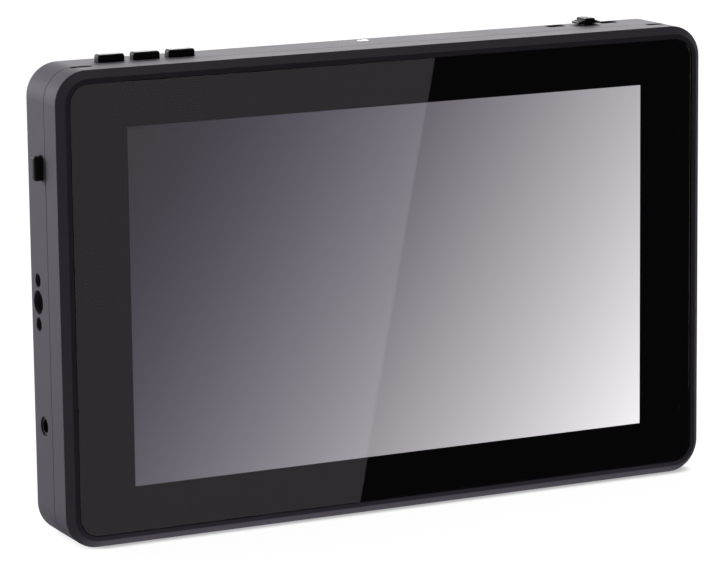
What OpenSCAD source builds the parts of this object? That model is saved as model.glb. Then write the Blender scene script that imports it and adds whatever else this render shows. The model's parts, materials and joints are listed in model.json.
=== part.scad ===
// Seven inch camera field monitor, standing on its lower edge.
// X runs to the right seen from the screen, Y into the depth, Z up.
// The origin is the mouth of the tripod thread in the middle of the bottom face.
// A "depth" is counted from the glass face towards the back.

/* [Casing] */
// Width of the casing
body_w = 188.8; // [184:0.2:200]
// Height of the casing
body_h = 124.6; // [122:0.2:134]
// Depth from the glass face to the back face
body_d = 22.8; // [22.6:0.1:26]
// Radius of the casing's corners, seen from the front
corner_r = 8.6; // [7.5:0.1:10]
// Size of the chamfer around the front edge
front_chamfer = 2; // [1.6:0.1:2.4]
// Rounding of the rear edge
rear_round = 1; // [0.6:0.1:1.4]
// Thickness of the outer walls
wall = 1.9; // [1.6:0.1:2.1]
// Depth of the joint line between the two shells
seam_depth = 9.85; // [9.6:0.05:10.2]
// Width of the joint line
seam_gap = 0.2; // [0.1:0.05:0.3]
// Thickness of the tongue that the rear shell puts inside the frame
tongue_t = 1; // [0.8:0.1:1.2]
// Reach of the tongue in front of the joint line
tongue_reach = 0.6; // [0.4:0.1:0.7]

/* [Screen] */
// Width of the picture area
active_w = 150.72; // [144:0.02:153]
// Height of the picture area
active_h = 94.2; // [90:0.02:96]
// Distance from the casing's side to the edge of the glass
glass_margin = 3.4; // [3.2:0.1:3.8]
// Gap all round the glass
glass_gap = 0.15; // [0.1:0.05:0.25]
// Thickness of the cover glass
glass_t = 1.1; // [0.8:0.1:1.3]
// Thickness of the black border film behind the glass
mask_t = 0.15; // [0.1:0.05:0.2]
// Thickness of the tape that bonds the glass to the ledge
tape_t = 0.25; // [0.2:0.05:0.4]
// Thickness of the ledge that carries the glass
ledge_t = 1.4; // [1.2:0.1:1.6]
// Rim of the display panel around the picture area
panel_rim = 6; // [4:0.5:6.5]
// Thickness of the liquid crystal cell
cell_t = 1.4; // [1.2:0.1:1.6]
// Thickness of the light guide with its films
light_t = 2.5; // [2:0.1:2.8]
// Thickness of the steel tray behind the light guide
tray_t = 0.4; // [0.3:0.1:0.5]
// Radius of the status light behind the glass
status_r = 0.6; // [0.4:0.1:0.8]
// Distance of the status light from the right side
status_from_side = 6.6; // [6.4:0.1:7]
// Height of the status light
status_z = 17.9; // [16.5:0.1:22]

/* [Inner frame and boards] */
// Thickness of the aluminium middle plate
plate_t = 1.5; // [1.2:0.1:1.6]
// Space between the middle plate and the main board
standoff_h = 2.5; // [2.3:0.1:2.8]
// Thickness of the main board
board_t = 1.6; // [1.2:0.1:1.8]
// Height of the main board's lower edge
board_low_z = 14; // [13:0.5:15.5]
// Height of the main board itself
board_h = 74; // [70:0.5:75]
// Thickness of the small key boards
key_board_t = 1.2; // [1:0.1:1.4]
// Side of the processor package
chip_side = 17; // [12:0.5:20]
// Thickness of the processor package
chip_t = 1.2; // [1:0.1:1.4]
// Width and height of the heat sink
sink_side = 32; // [26:1:33]
// Height of the heat sink over the processor
sink_h = 6; // [5:0.5:7]
// Width of the display's ribbon
ribbon_w = 24; // [16:1:26]
// Thickness of the ribbons
ribbon_t = 0.2; // [0.15:0.05:0.25]

/* [Keys on the top] */
// Width of a key
key_w = 7.5; // [7:0.1:8.2]
// Depth of a key, front to back
key_t = 3.4; // [2.6:0.1:3.4]
// Distance between key centres
key_pitch = 9.85; // [9.5:0.05:10.5]
// Distance of the first key's centre from the left side
key_from_side = 20.3; // [19:0.1:22]
// Depth of the keys' centre line
key_depth = 14.7; // [14:0.1:15.2]
// Height that a key stands over the casing
key_rise = 2; // [1.6:0.1:2.6]
// Travel of every key
key_travel = 0.5; // [0.3:0.05:0.6]
// Play around a key
key_play = 0.15; // [0.1:0.05:0.2]

/* [Power key on the left side] */
// Length of the power key
power_w = 6.5; // [6:0.1:8]
// Depth of the power key, front to back
power_t = 2.5; // [2.2:0.1:2.8]
// Height of its centre
power_z = 98.65; // [98.5:0.05:104]
// Depth of its centre line
power_depth = 12.75; // [12.7:0.05:13.2]
// Height that it stands over the side
power_rise = 2.4; // [1.6:0.1:2.6]

/* [Menu lever] */
// Width of the lever's ridged cap
lever_w = 6.9; // [6.6:0.1:8]
// Depth of the cap, front to back
lever_t = 4.6; // [4:0.1:5.6]
// Height of the cap's crest over the casing
lever_rise = 2; // [1.8:0.1:3]
// Distance of the lever's centre from the right side
lever_from_side = 26.45; // [24:0.05:30]
// Depth of the lever's centre line
lever_depth = 17.8; // [17.6:0.1:18.1]
// Travel of the lever to each side
lever_travel = 1.5; // [1:0.1:1.6]
// Travel of the lever when it is pushed in
lever_push = 0.4; // [0.2:0.05:0.45]
// Length of the marks beside the lever
mark_len = 5.2; // [4:0.1:6.4]
// Width of the marks, front to back
mark_w = 3.8; // [3:0.1:4.4]
// Rounding of the marks' corners
mark_r = 0.8; // [0.2:0.1:1.4]
// Distance from the middle between the marks to the near end of each
mark_from_middle = 5.6; // [5.2:0.1:8]
// Distance of that middle to the left of the lever's centre
mark_shift = 0.7; // [0:0.1:0.8]
// Depth of the marks' centre line
mark_depth = 19.1; // [18.4:0.1:19.2]
// Depth of the marks below the surface
mark_cut = 0.3; // [0.2:0.1:0.5]

/* [Hood slots and signal window] */
// Length of a hood slot
hood_slot_len = 6.2; // [5:0.1:8]
// Width of a hood slot
hood_slot_w = 2.2; // [1.6:0.1:2.3]
// Distance of a hood slot's centre from the side
hood_slot_from_side = 9.9; // [9.4:0.1:11]
// Depth of the hood slots' centre line
hood_slot_depth = 8.2; // [7.9:0.1:8.2]
// Width of the signal window
window_w = 3; // [2:0.1:4]
// Depth of the signal window, front to back
window_t = 1.8; // [1.6:0.1:2.4]
// Distance of its centre to the right of the middle
window_x = 0.5; // [-4:0.5:4]
// Depth of its centre
window_depth = 18.8; // [18.2:0.1:19]

/* [Tripod sockets] */
// Depth of both sockets' axes
socket_depth = 17.3; // [17:0.1:17.5]
// Radius of the tripod thread
thread_r = 3.175; // [3.1:0.025:3.25]
// Length of the tripod thread
thread_len = 8; // [6:0.5:8]
// Radius of the locating pin holes
pin_hole_r = 1.85; // [1.5:0.05:1.9]
// Distance from the thread to each pin hole
pin_from_thread = 5.8; // [5.6:0.1:6.5]
// Length of the pin holes
pin_hole_len = 4; // [3:0.5:5]
// Material around the sockets
socket_wall = 2.2; // [2:0.1:3]
// Height of the side socket
side_socket_z = 62.8; // [56:0.2:70]

/* [Sockets in the left and right sides] */
// Height of the headphone socket
phones_z = 30.3; // [26:0.1:40]
// Depth of the headphone socket's axis
phones_depth = 15.5; // [15.3:0.1:16.2]
// Radius of the headphone plug hole
phones_r = 1.8; // [1.75:0.05:1.9]
// Radius of the collar around the plug hole
phones_collar_r = 2.5; // [2.4:0.1:2.9]
// Heights of the picture input and output sockets
picture_z = [77, 56];
// Height of the data socket
data_z = 40; // [36:0.5:44]
// Height of the power inlet
inlet_z = 25; // [20:0.5:27]
// Radius of the power inlet's barrel
inlet_r = 2.9; // [2.8:0.05:3]
// Radius of the pin inside the power inlet
inlet_pin_r = 1.05; // [0.9:0.05:1.25]
// Gap between a socket's shell and its cut-out
cutout_gap = 0.2; // [0.15:0.05:0.4]

/* [Fan and vents] */
// Side of the square fan
fan_side = 36; // [32:0.5:38]
// Thickness of the fan
fan_t = 7; // [6:0.5:7]
// Distance of the fan's centre to the right of the middle
fan_x = 50; // [47:0.5:52]
// Radius of the fan's duct
duct_r = 16.4; // [14:0.1:16.6]
// Gap between the blades and the duct
blade_gap = 0.8; // [0.5:0.1:1.2]
// Number of fan blades
blade_count = 7; // [5:1:9]
// Radius of the rotor's hub
hub_r = 6.8; // [6:0.1:8]
// Width of a vent slot
vent_w = 1.8; // [1.2:0.1:2.2]
// Distance between vent slots
vent_pitch = 3.4; // [3:0.1:4.5]

/* [Battery plate] */
// Width of the battery plate
mount_w = 41; // [40:0.5:46]
// Height of the battery plate
mount_h = 68; // [64:0.5:74]
// Thickness of the plate's base
mount_t = 1.8; // [1.5:0.1:2.2]
// Height of the plate's lower edge
mount_low_z = 24; // [22:0.5:28]
// Height of the space under the battery hooks
hook_gap = 1.7; // [1.5:0.1:2]
// Thickness of the battery hooks
hook_t = 1.3; // [1:0.1:1.6]
// Reach of a hook over the plate
hook_reach = 2; // [1.6:0.1:2.4]
// Length of a hook
hook_len = 10; // [8:0.5:14]
// Width of the contact block
block_w = 23; // [20:0.5:26]
// Height of the contact block, along the casing
block_h = 7; // [6:0.5:8]
// Height of the contact block over the plate
block_rise = 5; // [4.5:0.1:6]
// Width of the battery latch
latch_w = 12; // [10:0.5:14]
// Height of the battery latch, along the casing
latch_h = 8; // [7:0.5:9]
// Height of the latch's tooth over the plate
tooth_rise = 2; // [1.6:0.1:2.2]
// Travel of the latch into the casing
latch_travel = 2.2; // [2.1:0.1:2.4]

/* [Fasteners] */
// Radius of the casing screws' shanks
casing_screw_r = 1.2; // [1:0.05:1.25]
// Radius of the casing screws' heads
casing_head_r = 2.3; // [2:0.1:2.4]
// Distance of the casing screws from the sides and ends
casing_screw_inset = 8.5; // [8.4:0.1:9]
// Radius of the screw bosses
boss_r = 3; // [2.9:0.1:3.2]
// Radius of the small screws' shanks
small_screw_r = 0.95; // [0.8:0.05:1]
// Radius of the small screws' heads
small_head_r = 1.8; // [1.5:0.1:1.9]

/* [Hidden] */
$fn = 48;

// Small clearances and overlaps
fit = 0.05;            // running fit between a shank and its hole
loose = 0.1;           // gap between parts that only lie together
cut = 0.5;             // how far a cutting form runs past the surface
join = 0.5;            // how far two forms of one piece run into each other
air = 0.5;             // space between the boards or plates and the casing

// Front to back order of the layers
mask_depth = glass_t;
tape_depth = mask_depth + mask_t;
ledge_depth = tape_depth + tape_t;
ledge_back = ledge_depth + ledge_t;
cell_depth = tape_depth;
light_depth = cell_depth + cell_t;
tray_depth = light_depth + light_t;
tray_back = tray_depth + tray_t;
plate_depth = tray_back + loose;
plate_back = plate_depth + plate_t;
board_depth = plate_back + standoff_h;
board_back = board_depth + board_t;
inner_back = body_d - wall;

// Outlines seen from the front
mid_z = body_h / 2;
glass_w = body_w - 2 * glass_margin;
glass_h = body_h - 2 * glass_margin;
glass_r = corner_r - glass_margin;
panel_w = active_w + 2 * panel_rim;
panel_h = active_h + 2 * panel_rim;
panel_r = 1;
panel_low_z = mid_z - panel_h / 2;
ledge_gap = 0.6;
tape_inset = 0.5;
tongue_inset = wall + loose;
board_inset = tongue_inset + tongue_t + air;
board_w = body_w - 2 * board_inset;
board_mid_z = board_low_z + board_h / 2;
board_r = 2;
standoff_r = 2.2;
ribbon_lap = 3;
ribbon_gap = 1;
small_ribbon_w = 8;
screw_x = body_w / 2 - casing_screw_inset;
screw_z = body_h / 2 - casing_screw_inset;

// Processor on the main board, to the right of the middle and over the board's lower edge
processor_x = 4;
processor_up = 48.3;
sink_base_t = 1.6;
fin_t = 0.9;
fin_count = 7;

// Other packages: place as shares of the board from its middle, then width and height
board_chip_places = [
    [-0.165, -0.15, 9, 7], [-0.165, 0.34, 8, 12], [-0.34, -0.34, 10, 8],
    [-0.36, 0.36, 12, 12], [0.385, -0.23, 8, 6]
];

// Keys, in a frame with the outer surface at height 0
flange_t = 0.9;
flange_lip = 0.6;
key_round = 0.7;
key_corner_r = 0.8;
flange_top = -wall - fit;
switch_top = flange_top - flange_t - key_travel - loose;
switch_h = 3;
switch_w = 5.2;
switch_t = 4.4;
stem_r = 0.9;
stem_entry = 0.4;
stem_end = switch_top - stem_entry;
well_depth = stem_entry + key_travel + 2 * loose;
key_board_top = switch_top - switch_h;
key_board_reach = 7.5;
key_board_end = 4.5;
top_board_depth = 11;
top_board_back = inner_back - air;
post_side = 3.2;
key_x = [for (i = [0 : 2]) -body_w / 2 + key_from_side + i * key_pitch];
key_post_x = [key_x[0], key_x[2]];
post_depth = top_board_back - post_side / 2;

// Menu lever
lever_x = body_w / 2 - lever_from_side;
lever_gap = lever_push + loose;
lever_stem = 2.4;
lever_rib_w = 0.65;
lever_groove = 0.2;
lever_rib_count = 5;
lever_base_t = 0.5;
slider_w = 6.4;
slider_t = 4;
slider_h = 2.2;
lever_switch_wall = 0.8;
lever_switch_top = -wall - 3 * loose;
lever_switch_h = 4;
slider_top = lever_switch_top - 5 * loose;
slider_well = 1.5;
lever_stem_end = slider_top - slider_well + lever_push + loose;
lever_board_top = lever_switch_top - lever_switch_h;
lever_post_x = [lever_x - key_board_reach - post_side, lever_x + key_board_reach + post_side];

// Power key
power_board_depth = power_depth - 2;
power_board_w = 8;
power_post_z = [-key_board_reach, key_board_reach];

// Signal window
window_flange = 0.8;
window_flange_t = 1.2;

// Side sockets
picture_w = 15;
picture_t = 5.8;
picture_len = 12;
picture_wall = 0.5;
picture_bore = 9;
picture_tongue_len = 7.5;
picture_tongue_t = 1;
picture_tongue_w = 11.4;
data_w = 9;
data_t = 3.2;
data_len = 8;
data_wall = 0.35;
data_bore = 7;
data_tongue_sink = 1.5;
data_tongue_t = 0.7;
data_tongue_w = 6.6;
inlet_w = 8.8;
inlet_air = 0.85;
inlet_t = inner_back - board_back - inlet_air;
inlet_skin = 0.15;
inlet_len = 13;
inlet_bore = 10;
inlet_pin_len = 8.5;
socket_sink = 0.4;
phones_len = 13;
phones_w = 7;
phones_t = 6.6;
phones_bore = 12;
phones_leg_t = 2;

// Fan
fan_depth = inner_back - fan_t;
fan_z = mid_z;
fan_screw_edge = 2.5;
fan_screw_pitch = fan_side - 2 * fan_screw_edge;
spoke_t = 1.2;
spoke_w = 2;
stator_r = 6;
axle_r = 1;
rotor_gap = 0.3;
rotor_t = 4.8;
blade_t = 0.8;
blade_pitch = 38;
rotor_base = spoke_t + rotor_gap;

// Battery plate
mount_mid_z = mount_low_z + mount_h / 2;
mount_back = body_d + mount_t;
mount_r = 2;
rail_t = 1.6;
rail_end = 4;
hook_z = [mount_low_z + mount_h * 0.24, mount_low_z + mount_h * 0.7];
block_z = mount_low_z + block_h / 2 + 1.5;
contact_x = [-7.5, 0, 7.5];
contact_t = 0.8;
contact_h = 2.2;
contact_len = 4.5;
contact_root = 4;
contact_from_top = 1.8;
contact_depth = mount_back + block_rise - contact_from_top - contact_h / 2;
latch_from_top = 2.5;
latch_z = mount_low_z + mount_h - latch_h / 2 - latch_from_top;
tooth_t = 2.4;
latch_flange = 1;
latch_lip = 1.2;
latch_play = 0.2;
latch_seat = inner_back - fit;
spring_r = 2.6;
spring_wire = 0.7;
bracket_t = 0.8;
bracket_rim = 1;
spring_pressed = 2.8;
spring_len = latch_travel + spring_pressed;
spring_depth = latch_seat - latch_flange - spring_len;
bracket_depth = spring_depth - bracket_t;
bracket_w = latch_w + 2 * latch_lip + 2 * post_side + 2;
plate_screw_side = 7.5;
plate_screw_low = 16;
plate_screw_high = 5;
plate_screw_x = mount_w / 2 - plate_screw_side;
plate_screw_z = [mount_low_z + plate_screw_low, mount_low_z + mount_h - plate_screw_high];

// Screws
casing_head_h = 1.6;
casing_head_sink = 0.6;
casing_screw_end = ledge_depth + ledge_t / 2;
small_head_h = 1.1;
small_screw_len = 3.4;
fan_screw_cover = 1;
drive_slot = 0.6;
board_screw_spots = [
    for (x = [-0.42, 0, 0.42], z = [-0.42, 0.42]) [x * board_w, z * board_h]
];

// Depth from the glass face, as a place along Y
function at(depth) = depth - socket_depth;

// A flat outline drawn in X and Z, as a solid between two depths
module layer(from, to) {
    translate([0, at(to), 0])
        rotate([90, 0, 0])
            linear_extrude(height = to - from)
                children();
}

// Moves an outline to the middle of the casing's height
module centred() {
    translate([0, mid_z])
        children();
}

// Turns a form so that its own Z points to the back, starting at a depth
module facing_back(x, z, depth) {
    translate([x, at(depth), z])
        rotate([-90, 0, 0])
            children();
}

// Frame on the top face: its own Z points up
module on_top(x, depth) {
    translate([x, at(depth), body_h])
        children();
}

// Frame on the left side: its own Z points out of the side, its X points up
module on_left(z, depth) {
    translate([-body_w / 2, at(depth), z])
        rotate([0, -90, 0])
            children();
}

// Frame on the right side: its own Z points out of the side, its X points down
module on_right(z, depth) {
    translate([body_w / 2, at(depth), z])
        rotate([0, 90, 0])
            children();
}

// Rectangle with round corners
module round_rect(w, h, r) {
    square([w - 2 * r, h], center = true);
    square([w, h - 2 * r], center = true);
    for (sx = [-1, 1], sy = [-1, 1])
        translate([sx * (w / 2 - r), sy * (h / 2 - r)])
            circle(r);
}

// Slot with round ends
module long_hole(len, w) {
    square([len - w, w], center = true);
    for (side = [-1, 1])
        translate([side * (len - w) / 2, 0])
            circle(w / 2);
}

// Box between two heights, centred in the other directions
module block(w, t, low, high) {
    translate([-w / 2, -t / 2, low])
        cube([w, t, high - low]);
}

// Section of a block whose two lower corners are rounded
module round_section(w, t, e) {
    translate([-w / 2 + e, 0])
        square([w - 2 * e, t]);
    translate([-w / 2, e])
        square([w, t - e]);
    for (side = [-1, 1])
        translate([side * (w / 2 - e), e])
            circle(e);
}

// Section of a block whose two lower corners are cut off at 45 degrees
module chamfer_section(w, t, e) {
    polygon([[-w / 2 + e, 0], [w / 2 - e, 0], [w / 2, e], [w / 2, t], [-w / 2, t], [-w / 2, e]]);
}

// Block with round corners and one rounded edge, which lies at height 0
module rounded_block(w, h, r, t, e) {
    for (sx = [-1, 1], sy = [-1, 1])
        translate([sx * (w / 2 - r), sy * (h / 2 - r), 0])
            rotate_extrude()
                intersection() {
                    round_section(2 * r, t, e);
                    square([r, t]);
                }
    rotate([90, 0, 90])
        linear_extrude(height = w - 2 * r, center = true)
            round_section(h, t, e);
    rotate([90, 0, 0])
        linear_extrude(height = h - 2 * r, center = true)
            round_section(w, t, e);
}

// Block with round corners and one chamfered edge, which lies at height 0
module chamfered_block(w, h, r, t, e) {
    for (sx = [-1, 1], sy = [-1, 1])
        translate([sx * (w / 2 - r), sy * (h / 2 - r), 0])
            rotate_extrude()
                intersection() {
                    chamfer_section(2 * r, t, e);
                    square([r, t]);
                }
    rotate([90, 0, 90])
        linear_extrude(height = w - 2 * r, center = true)
            chamfer_section(h, t, e);
    rotate([90, 0, 0])
        linear_extrude(height = h - 2 * r, center = true)
            chamfer_section(w, t, e);
}

// Outline of the casing, drawn in by an inset
module casing_outline(inset) {
    centred()
        round_rect(body_w - 2 * inset, body_h - 2 * inset, corner_r - inset);
}

// The places of the four casing screws
module at_casing_screws() {
    for (sx = [-1, 1], sz = [-1, 1])
        translate([sx * screw_x, 0, mid_z + sz * screw_z])
            children();
}

// Round bar along Y between two depths
module bar(r, from, to) {
    translate([0, at(from), 0])
        rotate([-90, 0, 0])
            cylinder(r = r, h = to - from);
}

// Pan head screw: the shank hangs below height 0 and the head stands above it
module screw(shank_r, shank_len, head_r, head_h) {
    difference() {
        union() {
            translate([0, 0, -shank_len])
                cylinder(r = shank_r, h = shank_len + head_h / 2);
            cylinder(r = head_r, h = head_h);
        }
        for (turn = [0, 90])
            rotate([0, 0, turn])
                block(head_r * 1.3, drive_slot, head_h / 2, head_h + cut);
    }
}

// Key cap with its flange and stem, outer surface of the casing at height 0
module key_cap(w, t, rise) {
    translate([0, 0, rise])
        mirror([0, 0, 1])
            rounded_block(w, t, key_corner_r, rise - flange_top, key_round);
    block(w + 2 * flange_lip, t + 2 * flange_lip, flange_top - flange_t, flange_top);
    translate([0, 0, stem_end])
        cylinder(r = stem_r, h = flange_top - stem_end);
}

// Opening for a key cap
module key_hole(w, t) {
    translate([0, 0, -wall - cut])
        linear_extrude(height = wall + 2 * cut)
            round_rect(w + 2 * key_play, t + 2 * key_play, key_corner_r + key_play);
}

// Tactile switch with a well for the key's stem
module switch_body() {
    difference() {
        block(switch_w, switch_t, key_board_top, switch_top);
        translate([0, 0, switch_top - well_depth])
            cylinder(r = stem_r + loose, h = well_depth + cut);
    }
}

// Post that carries a key board, with a blind hole for its screw
module board_post(foot) {
    difference() {
        block(post_side, post_side, foot, -wall + join);
        translate([0, 0, foot - cut])
            cylinder(r = small_screw_r + fit, h = small_screw_len + cut);
    }
}

// Screw that holds a key board from below
module post_screw(board_top) {
    translate([0, 0, board_top - key_board_t])
        mirror([0, 0, 1])
            screw(small_screw_r, small_screw_len, small_head_r, small_head_h);
}

// Front half of the casing with the ledge that carries the glass
module front_frame() {
    frame_back = seam_depth - seam_gap / 2;
    color("#35343a")
    difference() {
        union() {
            difference() {
                facing_back(0, mid_z, 0)
                    chamfered_block(body_w, body_h, corner_r, frame_back, front_chamfer);
                layer(ledge_back, body_d)
                    casing_outline(wall);
            }
            at_casing_screws()
                bar(boss_r, ledge_back - join, plate_depth);
        }
        layer(-cut, ledge_depth)
            centred()
                round_rect(glass_w + 2 * glass_gap, glass_h + 2 * glass_gap, glass_r + glass_gap);
        layer(0, body_d)
            centred()
                round_rect(panel_w + 2 * ledge_gap, panel_h + 2 * ledge_gap, panel_r);
        at_casing_screws()
            bar(casing_screw_r + fit, casing_screw_end, plate_depth + cut);
        for (side = [-1, 1])
            on_top(side * (body_w / 2 - hood_slot_from_side), hood_slot_depth)
                translate([0, 0, -wall - cut])
                    linear_extrude(height = wall + 2 * cut)
                        long_hole(hood_slot_len, hood_slot_w);
        translate([body_w / 2 - status_from_side, 0, status_z])
            bar(status_r + loose, 0, plate_depth);
    }
}

// Wall around a tripod socket, standing on the inside of a face
module socket_boss() {
    length = 2 * (pin_from_thread + pin_hole_r + socket_wall);
    width = 2 * (thread_r + socket_wall);
    block(length, width, -thread_len - socket_wall / 2, -wall / 2);
}

// Tripod thread and its two locating holes
module socket_holes() {
    translate([0, 0, -thread_len])
        cylinder(r = thread_r, h = thread_len + cut);
    for (side = [-1, 1])
        translate([side * pin_from_thread, 0, -pin_hole_len])
            cylinder(r = pin_hole_r, h = pin_hole_len + cut);
}

// Frame on the bottom face: its own Z points down
module on_bottom() {
    translate([0, at(socket_depth), 0])
        mirror([0, 0, 1])
            children();
}

// Shallow recess beside the lever, filled with black ink
module lever_mark(side) {
    translate([side * (mark_from_middle + mark_len / 2), 0, -mark_cut])
        linear_extrude(height = mark_cut + cut)
            round_rect(mark_len, mark_w, mark_r);
}

// Vent slots over the fan, cut to the round of its duct
module fan_vents() {
    rows = floor((duct_r - vent_w) / vent_pitch);
    for (row = [-rows : rows])
        translate([fan_x, fan_z + row * vent_pitch])
            long_hole(2 * sqrt(pow(duct_r - vent_w / 2, 2) - pow(row * vent_pitch, 2)), vent_w);
}

// Vent slots that let air in on the other side
module intake_vents() {
    rows = floor((duct_r - vent_w) / vent_pitch);
    for (row = [-rows : rows])
        translate([-fan_x, fan_z + row * vent_pitch])
            long_hole(2 * duct_r, vent_w);
}

// Cut-outs for the sockets in both sides
module side_cutouts() {
    for (z = picture_z)
        on_right(z, board_back + picture_t / 2)
            block(picture_w + 2 * cutout_gap, picture_t + 2 * cutout_gap, -wall - cut, cut);
    on_right(data_z, board_back + data_t / 2)
        translate([0, 0, -wall - cut])
            linear_extrude(height = wall + 2 * cut)
                long_hole(data_w + 2 * cutout_gap, data_t + 2 * cutout_gap);
    on_right(inlet_z, board_back + inlet_t / 2)
        translate([0, 0, -wall - cut])
            cylinder(r = inlet_r + cutout_gap, h = wall + 2 * cut);
    on_left(phones_z, phones_depth)
        translate([0, 0, -wall - cut])
            cylinder(r = phones_collar_r + cutout_gap / 2, h = wall + 2 * cut);
}

// Shell of the rear half without its inner parts
module rear_skin() {
    shell_front = seam_depth + seam_gap / 2;
    difference() {
        translate([0, at(body_d), mid_z])
            rotate([90, 0, 0])
                rounded_block(body_w, body_h, corner_r, body_d - shell_front, rear_round);
        layer(0, inner_back)
            casing_outline(wall);
    }
    difference() {
        layer(shell_front, shell_front + tongue_reach)
            casing_outline(wall - loose);
        layer(0, body_d)
            casing_outline(tongue_inset + tongue_t);
    }
    difference() {
        layer(shell_front - tongue_reach - seam_gap, shell_front + loose)
            casing_outline(tongue_inset);
        layer(0, body_d)
            casing_outline(tongue_inset + tongue_t);
    }
}

// Rear half of the casing with its bosses, posts and sockets
module rear_shell() {
    color("#6a6870")
    difference() {
        union() {
            rear_skin();
            at_casing_screws()
                bar(boss_r, plate_back, body_d - wall / 2);
            on_bottom()
                socket_boss();
            on_left(side_socket_z, socket_depth)
                socket_boss();
            for (x = key_post_x)
                on_top(x, post_depth)
                    board_post(key_board_top);
            for (x = lever_post_x)
                on_top(x, post_depth)
                    board_post(lever_board_top);
            for (shift = power_post_z)
                on_left(power_z + shift, power_board_depth + power_board_w / 2)
                    board_post(key_board_top);
            for (side = [-1, 1])
                facing_back(side * (bracket_w - post_side) / 2, latch_z, bracket_depth + bracket_t)
                    block(post_side, post_side, 0, inner_back - bracket_depth - bracket_t + join);
        }
        at_casing_screws()
            bar(casing_screw_r + loose, 0, body_d);
        at_casing_screws()
            bar(casing_head_r + loose, body_d - casing_head_sink - casing_head_h, body_d + cut);
        on_bottom()
            socket_holes();
        on_left(side_socket_z, socket_depth)
            socket_holes();
        for (x = key_x)
            on_top(x, key_depth)
                key_hole(key_w, key_t);
        on_left(power_z, power_depth)
            key_hole(power_w, power_t);
        on_top(lever_x, lever_depth)
            block(lever_stem + 2 * lever_travel + 4 * loose, lever_stem + 4 * loose, -wall - cut, cut);
        for (side = [-1, 1])
            on_top(lever_x - mark_shift, mark_depth)
                lever_mark(side);
        on_top(window_x, window_depth)
            block(window_w + 2 * loose, window_t + 2 * loose, -wall - cut, cut);
        side_cutouts();
        layer(inner_back - cut, body_d + cut) {
            fan_vents();
            intake_vents();
        }
        facing_back(0, block_z, inner_back - cut)
            block(block_w + 2 * loose, block_h + 2 * loose, 0, wall + 2 * cut);
        facing_back(0, latch_z, inner_back - cut)
            block(latch_w + 2 * latch_play, latch_h + 2 * latch_play, 0, wall + 2 * cut);
        for (sx = [-1, 1], z = plate_screw_z)
            translate([sx * plate_screw_x, 0, z])
                bar(small_screw_r + fit, inner_back - cut, body_d + cut);
        for (sx = [-1, 1], sz = [-1, 1])
            translate([fan_x + sx * fan_screw_pitch / 2, 0, fan_z + sz * fan_screw_pitch / 2])
                bar(small_screw_r + fit, inner_back - cut, inner_back + wall - fan_screw_cover / 2);
        for (side = [-1, 1])
            translate([side * (bracket_w - post_side) / 2, 0, latch_z])
                bar(small_screw_r + fit, bracket_depth, bracket_depth + bracket_t + small_screw_len);
    }
}

// Clear glass over the whole front
module cover_glass() {
    color("#b8c2c6", 0.35)
    layer(0, glass_t)
        centred()
            round_rect(glass_w, glass_h, glass_r);
}

// Black film behind the glass, open over the picture
module border_mask() {
    color("#08080a")
    difference() {
        layer(mask_depth, tape_depth)
            centred()
                round_rect(glass_w - 2 * loose, glass_h - 2 * loose, glass_r - loose);
        layer(0, body_d)
            centred()
                square([active_w, active_h], center = true);
        translate([body_w / 2 - status_from_side, 0, status_z])
            bar(status_r + loose, 0, body_d);
    }
}

// Tape frame between the black film and the ledge
module glass_tape() {
    color("#202022")
    difference() {
        layer(tape_depth, ledge_depth)
            centred()
                round_rect(glass_w - 2 * tape_inset, glass_h - 2 * tape_inset, glass_r - loose);
        layer(0, body_d)
            centred()
                round_rect(panel_w + 2 * ledge_gap, panel_h + 2 * ledge_gap, panel_r);
        translate([body_w / 2 - status_from_side, 0, status_z])
            bar(status_r + loose, 0, body_d);
    }
}

// Liquid crystal cell
module display_cell() {
    color("#8e8d92")
    layer(cell_depth, light_depth)
        centred()
            square([panel_w, panel_h], center = true);
}

// Light guide with its films
module light_guide() {
    color("#eceff0")
    layer(light_depth, tray_depth)
        centred()
            square([panel_w - 2 * loose, panel_h - 2 * loose], center = true);
}

// Steel tray around the light guide, with a notch for the ribbon
module light_tray() {
    color("#b9bcc0")
    difference() {
        layer(light_depth, tray_back)
            centred()
                round_rect(panel_w + 2 * tray_t, panel_h + 2 * tray_t, panel_r);
        layer(0, tray_depth)
            centred()
                square([panel_w, panel_h], center = true);
        layer(0, body_d)
            translate([0, panel_low_z - tray_t])
                square([ribbon_w + 2 * ribbon_gap, 4 * tray_t - loose], center = true);
    }
}

// Clear rod that brings the status light to the front
module status_light_pipe() {
    color("#d8dce0")
    translate([body_w / 2 - status_from_side, 0, status_z])
        bar(status_r, mask_depth, board_depth);
}

// Aluminium plate that stiffens the casing and carries the main board
module middle_plate() {
    color("#aeb2b6")
    difference() {
        union() {
            layer(plate_depth, plate_back)
                casing_outline(wall + air);
            for (spot = board_screw_spots)
                translate([spot.x, 0, board_mid_z + spot.y])
                    bar(standoff_r, plate_back - loose, board_depth);
        }
        at_casing_screws()
            bar(casing_screw_r + loose, 0, body_d);
        for (spot = board_screw_spots)
            translate([spot.x, 0, board_mid_z + spot.y])
                bar(small_screw_r + fit, plate_depth - cut, body_d);
        layer(0, body_d)
            translate([0, panel_low_z - tray_t])
                square([ribbon_w + 2 * ribbon_gap, 2 * ribbon_gap], center = true);
        translate([body_w / 2 - status_from_side, 0, status_z])
            bar(status_r + loose, 0, body_d);
    }
}

// Main circuit board
module main_board() {
    color("#1f5b3a")
    difference() {
        layer(board_depth, board_back)
            translate([0, board_mid_z])
                round_rect(board_w, board_h, board_r);
        for (spot = board_screw_spots)
            translate([spot.x, 0, board_mid_z + spot.y])
                bar(small_screw_r + loose, 0, body_d);
    }
}

// Processor in its package
module processor() {
    color("#26262a")
    facing_back(processor_x, board_low_z + processor_up, board_back)
        block(chip_side, chip_side, 0, chip_t);
}

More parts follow.
